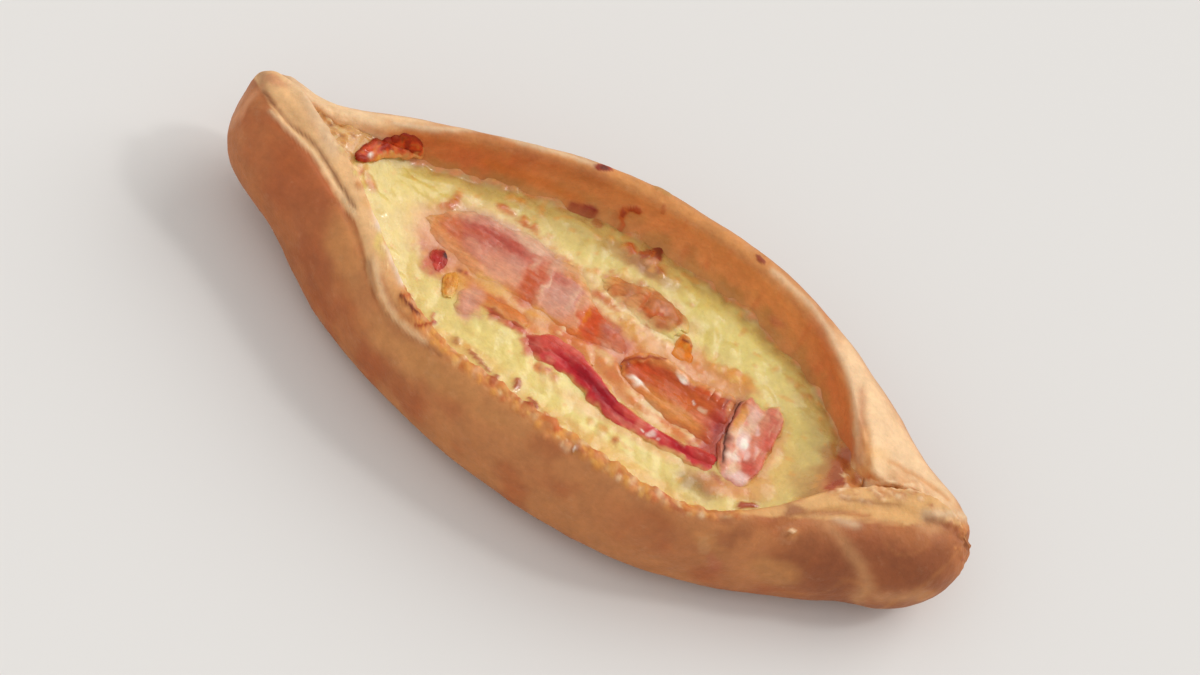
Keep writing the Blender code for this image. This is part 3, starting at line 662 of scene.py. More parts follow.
# Browned and burnt filling that sticks to the dough and the cheese, and one pale line of painted light along
# the right seam, in the same way
burntMarksAndSeamLight = (
    (((-27.2, 54.6), (-24.4, 56.2)), 1.25, 0.3, "maroon", 0.95),
    (((-26.4, 54.8), (-25.4, 55.4)), 0.7, 0, "char", 0.7),
    (((-9.3, 59.5), (-5.4, 59.5)), 0.97, 0.5, "cheeseBrown", 0.8),
    (((27.5, 57.2), (29.3, 56.8)), 0.97, 0.5, "darkRed", 0.8),
    (((-27.4, 37), (-24.6, 38.3), (-21.6, 39.8)), 1.3, 0.6, "maroon", 0.3),
    (((-10.6, 48.6), (-13, 47), (-14, 44.6), (-13.4, 42.2), (-11.6, 40.6)), 0.85, 0.6, "toast", 0.9),
    (((-10.8, 48.6), (-12.2, 47.6)), 0.9, 0.4, "brown", 0.8),
    (((-13.8, 45.4), (-13.9, 43.6)), 0.6, 0.3, "maroon", 0.6),
    (((0.4, 39.2), (1.2, 36.6)), 1.9, 0.6, "maroon", 0.97),
    (((0.6, 38.8), (1.2, 37.4)), 1.1, 0.3, "burnt", 0.85),
    (((-0.4, 36.8), (0.2, 36)), 0.6, 0.3, "innerOrange", 0.7),
    (((1.4, 34.6), (0.2, 33.2)), 1.15, 0.3, "palePink", 0.8),
    (((-1.5, 36.1), (-2.6, 34.2)), 1.4, 0.6, "brown", 0.85),
    (((3.5, 32.8), (4.7, 32.4)), 1.1, 0.6, "brown", 0.5),
    (((-19.2, 34.4), (-18, 34.4)), 1.03, 0.6, "brown", 0.6),
    (((-7, 34.2), (-5.8, 33.4)), 1.5, 0.7, "toast", 0.85),
    (((-4.8, 54.8), (-4.2, 53.3)), 0.97, 0.4, "rust", 0.6),
    (((-54.2, -25.5), (-51.4, -26.5), (-47.6, -28)), 0.62, 0.6, "burnt", 0.95),
    (((-52.6, -23), (-53.7, -25.1)), 0.6, 0.5, "toast", 0.85),
    (((-45.8, -31.2), (-43.6, -29.4), (-42.5, -27.3)), 0.66, 0.7, "brown", 0.95),
    (((-44.3, -24.4), (-43.4, -27.3)), 0.55, 0.5, "toast", 0.75),
    (((-34.8, -28.7), (-34.5, -29.4)), 0.97, 0.7, "cheeseBrown", 0.8),
    (((-30.2, -30.1), (-26.5, -31.2), (-22.7, -32.6)), 0.71, 0.6, "brown", 0.7),
    (((-20.2, -33.3), (-19.6, -34)), 0.97, 0.7, "brown", 0.75),
    (((-13.9, -30.8), (-13.4, -32.2)), 1.23, 0.9, "brown", 0.85),
    (((-8, -33.7), (-5.7, -34.4)), 0.9, 0.8, "brown", 0.85),
    (((-2.3, -35.1), (3.4, -36.5)), 0.71, 0.6, "toast", 0.6),
    (((10.8, -37.2), (12.8, -38.6)), 0.97, 0.7, "rust", 0.6),
    (((59.4, -24.4), (62.9, -21.9)), 0.97, 0.9, "brown", 0.95),
    (((42, -37.2), (46.2, -37.5)), 1.1, 0, "redBrown", 0.8),
    (((79.6, 11.4), (78.2, 5.4), (79.1, -0.5)), 2.0, 0.3, "rust", 0.85),
    (((79.3, 10.6), (79.3, 6.2), (79.7, 1.7)), 1.9, 0.4, "redBrown", 0.9),
    (((81.5, 1.7), (80.2, -0.8), (78.9, -3.4)), 0.8, 0.4, "brown", 0.85),
    (((82.4, 9.1), (82.8, 5.4), (82.4, 2.5)), 1.0, 0.6, "rimTan", 0.85),
    (((85.4, 6.4), (84.6, 3.4)), 0.75, 0, "rust", 0.7),
    # a pale line of painted light over the shade in the right seam
    (((87, 5.6), (91.5, 9), (95.3, 11.4), (99.5, 13.6), (103.4, 15.1)), 1.2, 0, "rimCream", 0.85),
    (((82.7, 10), (83.1, 8.6)), 0.6, 0.4, "cream", 0.8),
    (((80.8, 2.9), (81.6, 4.3)), 0.5, 0.3, "cream", 0.7),
    (((83.4, 1.2), (82.6, -0.6)), 0.6, 0.4, "rimCream", 0.75),
    (((55.4, -42.1), (56.5, -44.9)), 1.61, 0, "veinTan", 0.4),
)
# Below this line, in mm as the viewer sees it, the browned near wall starts. Above it is the paler rim.
bandEdge = np.array((
    (-131, 16.6), (-126.4, 14.3), (-122.5, 11.7), (-118.2, 8.4), (-112.8, 5.8), (-103.9, 2.8), (-97.9, 0.6),
    (-91.9, -3.4), (-84.5, -8.2), (-77.7, -11.1), (-71.1, -17.2), (-64.5, -27.3), (-56.2, -34.4),
    (-47.7, -36.5), (-36.3, -36.1), (-25, -37.2), (-7.9, -39.3), (3.4, -40), (14.7, -39.3), (31.7, -39.3),
    (45.9, -37.2), (54.6, -33.3), (60.4, -28), (69.3, -21.5), (78.1, -15.4), (85.5, -10.7), (93, -5.6),
    (101.9, -0.8), (108, 4.7), (114.2, 10.2), (120.1, 11.4), (128.4, 5.4),
)) * mm


# how far a mark's halo reaches past its half width, and how crisp or soft its edge is
markLooks = dict(halo=1.9, crisp=(0.2, 0.62), soft=0.6)


def raiseMarks(plan, facing, tone, marks, blur=0.0):
    # paints the marks, crisp where they have a blurred halo, and gives back how far they stand out
    up = np.zeros(len(plan))
    for path, wide, high, tint, strength in marks:
        near = nearLine(plan, path, wide) * facing
        up += near * high * mm
        if blur:
            tintOver(tone, "rust",
                     nearLine(plan, path, wide * markLooks["halo"]) * facing * blur * strength)
        cover = ease(*markLooks["crisp"], near) if blur else near ** markLooks["soft"]
        tintOver(tone, tint, cover * strength)
    return up


def paintOuterWall(tone, places, slow, middling, fine):
    x, y, z = places.T
    tintOver(tone, "redBrown", 0.8 * ease(0.0, 0.5, slow * 0.7 + middling * 0.6 + 0.18 * fine))
    tintOver(tone, "redBrown", 0.4 * ease(55 * mm, 85 * mm, np.abs(x)))
    tintOver(tone, "bakedBase", 0.7 * ease(9 * mm, 1 * mm, z))
    nose = ease(72 * mm, 96 * mm, x) * ease(2 * mm, -8 * mm, y) * ease(37 * mm, 31 * mm, z)
    tintOver(tone, "noseBrown", 0.9 * nose * (0.75 + 0.6 * middling))
    veins = np.exp(-((noiseAt(places, 15 * mm, 12.0) / 0.05) ** 2))
    tintOver(tone, "rimTan", 0.4 * veins * nose)


def paintRim(tone, places, plan, normals, side, middling, fine):
    # the paler folded rim: on the near side above the band's edge; on the far side wherever it faces up,
    # where the paler tone is partly painted light on the tops
    x, high = places[:, 0], places[:, 2] > 20 * mm
    blend = mix(2.6 * mm, 0.7 * mm, ease(35 * mm, 62 * mm, np.abs(x)))
    ragged = plan[:, 1] - np.interp(plan[:, 0], *bandEdge.T) + 0.9 * mm * fine
    topBand = ease(-1, 1, ragged / blend) * (side == nearSide) * high
    facingUp = np.where(side == nearSide, topBand, ease(0.45, 0.95, normals[:, 2]) * high)
    tintOver(tone, "rimTan", facingUp * (0.75 + 0.3 * middling))
    tintOver(tone, "bandTan", 0.85 * topBand * ease(50 * mm, 74 * mm, x))
    tintOver(tone, "flapTan", 0.85 * topBand * ease(-44 * mm, -74 * mm, x))
    # the cream on the far shoulders where they face up is a painted highlight
    shoulders = ease(52 * mm, 66 * mm, x) + ease(-66 * mm, -78 * mm, x)
    tips = ease(119 * mm, 108 * mm, np.abs(x))
    tintOver(tone, "rimCream", 0.9 * facingUp * shoulders * (side == farSide) * tips)


def paintInnerWall(tone, places, side, step, middling, fine):
    x, z = places[:, 0], places[:, 2]
    outer, roll = ringSteps["outer"], ringSteps["roll"]
    inside = ease(outer + 0.3 * roll, outer + 0.9 * roll, step)
    bare = ease(-95 * mm, -84 * mm, x) * ease(89 * mm, 84 * mm, x)
    tintOver(tone, "bandTan", inside * (1 - bare))
    tintOver(tone, "innerTan", inside * bare)
    ends = ease(-26 * mm, -58 * mm, x) + 0.7 * ease(45 * mm, 66 * mm, x)
    tintOver(tone, "innerRed", inside * bare * 0.8 * ends * (0.85 + 0.6 * middling))
    # a paler band round the top of the far crest: partly the rim's paler dough, partly painted light that
    # softens the step between the lit crest and the inner wall
    below = ease(outer + roll + 7, outer + 0.5 * roll, step) * ease(outer - 6, outer + 2, step)
    tintOver(tone, "rimTan", 0.7 * below * bare * (side == farSide) * (0.8 + 0.8 * fine))
    streak = noiseAt(places * np.array((1, 0.3, 0.16)), 2.6 * mm, 7.0)
    tintOver(tone, "innerRed", 0.45 * inside * bare * ease(0.0, 0.6, streak + 0.5 * middling))
    tintOver(tone, "cheeseBrown", 0.7 * inside * bare * ease(30 * mm, 23 * mm, z + 5 * mm * fine))


def paintRimToast(tone, places, side, fine):
    ragged = noiseAt(places, 2 * mm, 5.0)
    crusty = rimBand(places + 1.2 * mm * ragged[:, None], *rimToast["tintBand"]) * (side == nearSide)
    crusty = crusty * rimZone(places[:, 0], rimToast["tintZone"])
    tintOver(tone, "crumbGold", 0.8 * crusty * ease(-0.3, 0.15, fine + 0.6 * ragged))
    tintOver(tone, "toast", 0.75 * crusty * ease(0.1, 0.35, noiseAt(places, 3.2 * mm, 15.0)))
    tintOver(tone, "cream", 0.6 * crusty * ease(0.05, 0.4, noiseAt(places, rimToast["bubble"] * mm, 4.0)))


# patches of colour in mm: size, and offset of the noise
crustPatches = (34, 5.0), (12, 8.0), (4.5, 3.0)


def crustTone(places, plan, facing, normals, side, step):
    slow, middling, fine = (noiseAt(places, size * mm, offset) for size, offset in crustPatches)
    tone = np.tile(linear(tints["wallTan"]), (len(places), 1))
    paintOuterWall(tone, places, slow, middling, fine)
    paintRim(tone, places, plan, normals, side, middling, fine)
    paintInnerWall(tone, places, side, step, middling, fine)
    paintRimToast(tone, places, side, fine)
    paintSpots(tone, plan + 2.4 * mm * sway(places, 5 * mm, (3.0, 13.0)), crustSpots, facing)
    return tone


# Knobs and crumbs of toasted filling and dough, as the viewer sees them in mm: places, the spread round
# each, how many, half widths and tints
crustCrumbs = (
    dict(at=((-25.0, -32.3), (-13.6, -33.7), (1.1, -35.8), (9.0, -37.3), (16.2, -37.2), (23.3, -35.2),
             (41.4, -34.4), (46.5, -34.4), (51.1, -33.7)),
         spread=1.8, count=3, sizes=(0.8, 1.8), tints=("crumbGold", "innerTan", "rimTan", "cheeseToast")),
    dict(at=((91.5, 4.7), (93.6, 6.9), (95.7, 8.4), (97.6, 10.6), (99.8, 12.5), (102.8, 14.0), (88.1, 1.7),
             (85.4, -0.1), (82.7, -2.3)),
         spread=1.5, count=6, sizes=(0.35, 1.3),
         tints=("rimCream", "rimCream", "flapTan", "bandTan", "rimTan", "wallTan")),
    dict(at=((111.4, 11.4), (114.9, 12.8), (117.8, 11.4), (119.9, 8.4), (122.0, 4.7)),
         spread=1.6, count=5, sizes=(0.4, 1.0), tints=("wallTan", "redBrown", "rimTan")),
    dict(at=((-100.2, 15.8), (-98.1, 14.0), (-95.8, 15.5), (-93.9, 12.1), (-92.0, 9.5), (-89.5, 11.0),
             (-96.8, 12.1)),
         spread=1.5, count=6, sizes=(0.5, 1.3),
         tints=("cheeseOlive", "cream", "innerGold", "umber", "rimCream")),
    dict(at=((-85.9, 3.9), (-82.9, 1.7), (-80.0, 1.0), (-76.1, -2.7), (-71.5, -8.5), (-64.9, -14.7),
             (-60.2, -18.3)),
         spread=1.0, count=3, sizes=(0.4, 1.0), tints=("cream", "cheeseYellow", "rimTan")),
)
rimCrumbs = dict(start=-54 * mm, stop=62 * mm, count=210, into=(-1.8, 3.4), sizes=(0.5, 1.4), seed=6,
                 tints=("crumbGold", "innerTan", "innerTan", "toast", "rimTan", "cheeseToast", "rimCream"))
fillingCrumbs = (
    dict(at=((-39, 21),), spread=(5, 0.7), count=16, tints=("crumbGold", "toast", "apricot")),
    dict(at=((-57.4, 13),), spread=(0.4, 2.2), count=12, tints=("crumbGold", "toast")),
    dict(at=((-17, 16.8),), spread=(3.4, 0.8), count=12, tints=("crumbGold", "cream")),
    dict(at=((-5, 12.8),), spread=(2.2, 0.9), count=9, tints=("crumbGold", "toast")),
    dict(at=((5, 8.6),), spread=(3, 1.4), count=12, tints=("crumbGold", "grease", "cream")),
    dict(at=((40, 14),), spread=(3.6, 1.6), count=12, tints=("crumbGold", "grease")),
    dict(at=((-27, -14.2),), spread=(5, 0.5), count=14, tints=("rose", "brick", "apricot")),
    dict(at=((-16, -17.6),), spread=(2, 1.4), count=12, tints=("ruby", "rose")),
    dict(at=((-9, -22), (17, -29)), spread=(2.2, 0.9), count=7, tints=("toast", "crumbGold", "cream")),
    dict(at=((16, 13), (28, 8)), spread=(3, 2), count=6, tints=("cream", "rimCream", "apricot")),
    dict(at=((1, 21),), spread=(6, 3), count=24, tints=("apricot", "grease", "mauve", "cream")),
    dict(at=((-43.6, -6.6),), spread=(0.7, 0.5), count=4, tints=("darkRed", "brick")),
    dict(at=((32, -12.6), (-2, -8)), spread=(8, 1.2), count=9, tints=("cream", "apricot")),
    dict(at=((-2, 33), (-45, 28), (58, 22)), spread=(8, 1.2), count=14, tints=("innerGold", "cheeseToast")),
    dict(at=((10, -40),), spread=(26, 1.5), count=24, tints=("cheeseToast", "crumbGold", "cream")),
    dict(at=((-85, 6), (-81, 3)), spread=(1.6, 1.6), count=12,
         tints=("cream", "fatYellow", "gold", "toast")),
    dict(at=((-97, 12),), spread=(4, 1.8), count=40, tints=("cheeseOlive", "cream", "innerGold", "umber")),
)
fillingCrumbSizes = (0.5, 1.4)


def strewCrumbs(groups, seed, sizes=None):
    # the crumbs of some groups, as rows of place, half width and tint
    draw = random.Random(seed)
    found = []
    for group in groups:
        for place in group["at"]:
            spread = np.broadcast_to(group["spread"], len(place))
            for _ in range(group["count"]):
                middle = np.array([draw.gauss(p, s) * mm for p, s in zip(place, spread)])
                half = draw.uniform(*(sizes or group["sizes"])) * mm
                found.append((middle, half, draw.choice(group["tints"])))
    return found


def crumbsOfRim():
    draw = random.Random(rimCrumbs["seed"])
    found = []
    for _ in range(rimCrumbs["count"]):
        x = draw.uniform(rimCrumbs["start"], rimCrumbs["stop"])
        y = np.interp(x, rimXs, rimYs) + draw.uniform(*rimCrumbs["into"]) * mm
        middle = np.array((x, y, hull["rimHeight"] - draw.uniform(0, 1) * mm))
        found.append((middle, draw.uniform(*rimCrumbs["sizes"]) * mm, draw.choice(rimCrumbs["tints"])))
    return found


# a crumb's dome and its darker foot, in half widths
crumbLooks = dict(reach=2.4, steepness=1.5, footAt=1.15, footSpread=0.06)


def crumbRelief(places, crumbs, tone, high=0.5, strength=0.8, footing=0.22):
    # domes that melt into the surface, each with its own tint and a darker foot
    up = np.zeros(len(places))
    for middle, half, tint in crumbs:
        near = np.flatnonzero(np.abs(places[:, 0] - middle[0]) < crumbLooks["reach"] * half)
        away = ((places[near] - middle) ** 2).sum(axis=1) / half**2
        dome = np.exp(-(away ** crumbLooks["steepness"]))
        up[near] = np.maximum(up[near], dome * half * high)
        foot = np.exp(-((np.sqrt(away) - crumbLooks["footAt"]) ** 2) / crumbLooks["footSpread"])
        nearTone = tone[near]
        tintOver(nearTone, "brown", footing * foot)
        tintOver(nearTone, tint, strength * dome)
        tone[near] = nearTone
    return up


crust = dict(stations=384, stillSole=3 * mm, facingLimit=0.05, crumbSeed=5, crumbHigh=0.45,
             crumbStrength=0.7,
             jitterLength=2.2 * mm, burntHalo=0.25)


def makeCrust():
    xs = stationList(crust["stations"])
    rings = [crossSection(x) for x in xs]
    ends = [(x, atEnd(hull["noseTipY"], x), heights(x)[1]) for x in (-hull["halfLength"],
                                                                     hull["halfLength"])]
    bm, slot = ringSolid(xs, rings, ends)
    around = len(rings[0])
    side = np.where(slot <= around // 2, nearSide, farSide)
    step = np.where(side == nearSide, slot, around - slot)
    places, normals = placesOf(bm), normalsOf(bm)
    uneven = warped(places)
    plan, facing = asSeen(uneven), facingEye(normals)
    tone = crustTone(places, plan, facing, normals, side, step)
    up = crustBumps(places, normals, side) * ease(0, crust["stillSole"], places[:, 2])
    up += crumbRelief(uneven, crumbsOfRim(), tone)
    # what faces away from the viewer is moved out of reach of the crumbs
    turnedAway = np.where(facing > crust["facingLimit"], 0, 1)[:, None]
    crumbs = strewCrumbs(crustCrumbs, crust["crumbSeed"])
    up += crumbRelief(plan + turnedAway, crumbs, tone, crust["crumbHigh"], crust["crumbStrength"])
    jitter = sway(places, crust["jitterLength"], (3.0, 13.0))
    paintSpots(tone, plan + 0.7 * mm * jitter, crispSpots, facing)
    up += raiseMarks(plan + 0.5 * mm * jitter, facing, tone, crustStreaks)
    up += raiseMarks(plan + 0.9 * mm * jitter, facing, tone, burntMarksAndSeamLight, crust["burntHalo"])
    moveTo(bm, warped(places + normals * up[:, None]))
    return addPiece("crust", bm, tone, crustMaterial(), ["dough_boat"])


cheese = dict(start=-88 * mm, stop=79.5 * mm, fadeIn=12 * mm, reach=(-104 * mm, 86 * mm), sag=1.2 * mm,
              bump=0.9 * mm, bumpLength=21 * mm, across=112, stations=360, into=0.7 * mm, climb=1.6 * mm,
              edgeTable=260, endLength=1.5 * mm, crumbSeed=8, crumbHigh=0.32, crumbStrength=0.6,
              crumbFoot=0.1)
# flat domes of melted shreds in mm: where they lie, half lengths and widths, and how high they are
curds = dict(count=330, seed=11, x=(-86, 78), y=(-42, 40), long=(3, 8), wide=(2, 4.4), tall=(0.2, 0.75),
             flatness=0.8, underBacon=0.35)
# browning of the cheese towards the far wall, and painted shade from the wall in the trough: tint, how far
# in it reaches in mm, and strength
farBrowningAndShade = ("cheeseOlive", 7, 0.8), ("cheeseBrown", 4, 0.7), ("innerTan", 2, 0.9)
# only a browned film is left on the dough at both ends: tint, and the x in mm where it starts and is full
endFilm = ("cheeseToast", -84, -87), ("bandTan", -86, -91), ("cheeseBrown", 71, 76), ("innerTan", 76, 80)


def wallEdges():
    # where the cheese meets the two walls, in a table of places along X
    low, high = cheese["reach"]
    xs = np.linspace(low - 2 * mm, high + 2 * mm, cheese["edgeTable"])
    rings = [crossSection(x) for x in xs]
    return xs, np.array([(*ring[cheeseEdge], *ring[len(ring) - cheeseEdge]) for ring in rings])


edgeXs, edgeRows = wallEdges()


def edgesAt(x):
    return [np.interp(x, edgeXs, edgeRows[:, i]) for i in range(4)]


def cheeseHeight(x, y):
    # the same broad lumps as the solid has
    nearY, nearZ, farY, farZ = edgesAt(x)
    across = np.clip((y - nearY) / np.maximum(farY - nearY, mm), 0, 1)
    inside = 1 - np.abs(2 * across - 1) ** 4
    start, stop, fadeIn = cheese["start"], cheese["stop"], cheese["fadeIn"]
    ends = ease(start, start + fadeIn, x) * ease(stop, stop - fadeIn, x)
    broad = cheese["bump"] * noiseAt(levelled(x, y), cheese["bumpLength"])
    return mix(nearZ, farZ, across) + inside * ends * (broad - cheese["sag"])


def baconCover(x, y):
    # 1 where a slice lies on the cheese
    over = np.zeros_like(x)
    for spec in slices.values():
        rows = np.array(spec["rows"]) * mm
        within = ease(rows[0, 0] - mm, rows[0, 0] + mm, x) * ease(rows[-1, 0] + mm, rows[-1, 0] - mm, x)
        low, high = (np.interp(x, rows[:, 0], rows[:, i]) for i in (1, 2))
        over = np.maximum(over, within * ease(-mm, mm, y - low) * ease(-mm, mm, high - y))
    return over


def curdHeight(x, y):
    # melted shreds and blobs: many flat domes that run into each other
    draw = random.Random(curds["seed"])
    up = np.zeros_like(x)
    for _ in range(curds["count"]):
        middleX, middleY = draw.uniform(*curds["x"]) * mm, draw.uniform(*curds["y"]) * mm
        long, wide = draw.uniform(*curds["long"]) * mm, draw.uniform(*curds["wide"]) * mm
        turn, tall = draw.uniform(0, 180), draw.uniform(*curds["tall"]) * mm
        near = np.abs(x - middleX) < long
        a, b = turnedBy(turn, x[near] - middleX, y[near] - middleY)
        dome = tall * np.clip(1 - (a / long) ** 2 - (b / wide) ** 2, 0, 1) ** curds["flatness"]
        up[near] = np.maximum(up[near], dome)
    up *= mix(1, curds["underBacon"], baconCover(x, y))
    flat = levelled(x, y)
    return up + 0.1 * mm * noiseAt(flat, 2.8 * mm, 3.0) + 0.03 * mm * noiseAt(flat, 1.2 * mm, 5.0)
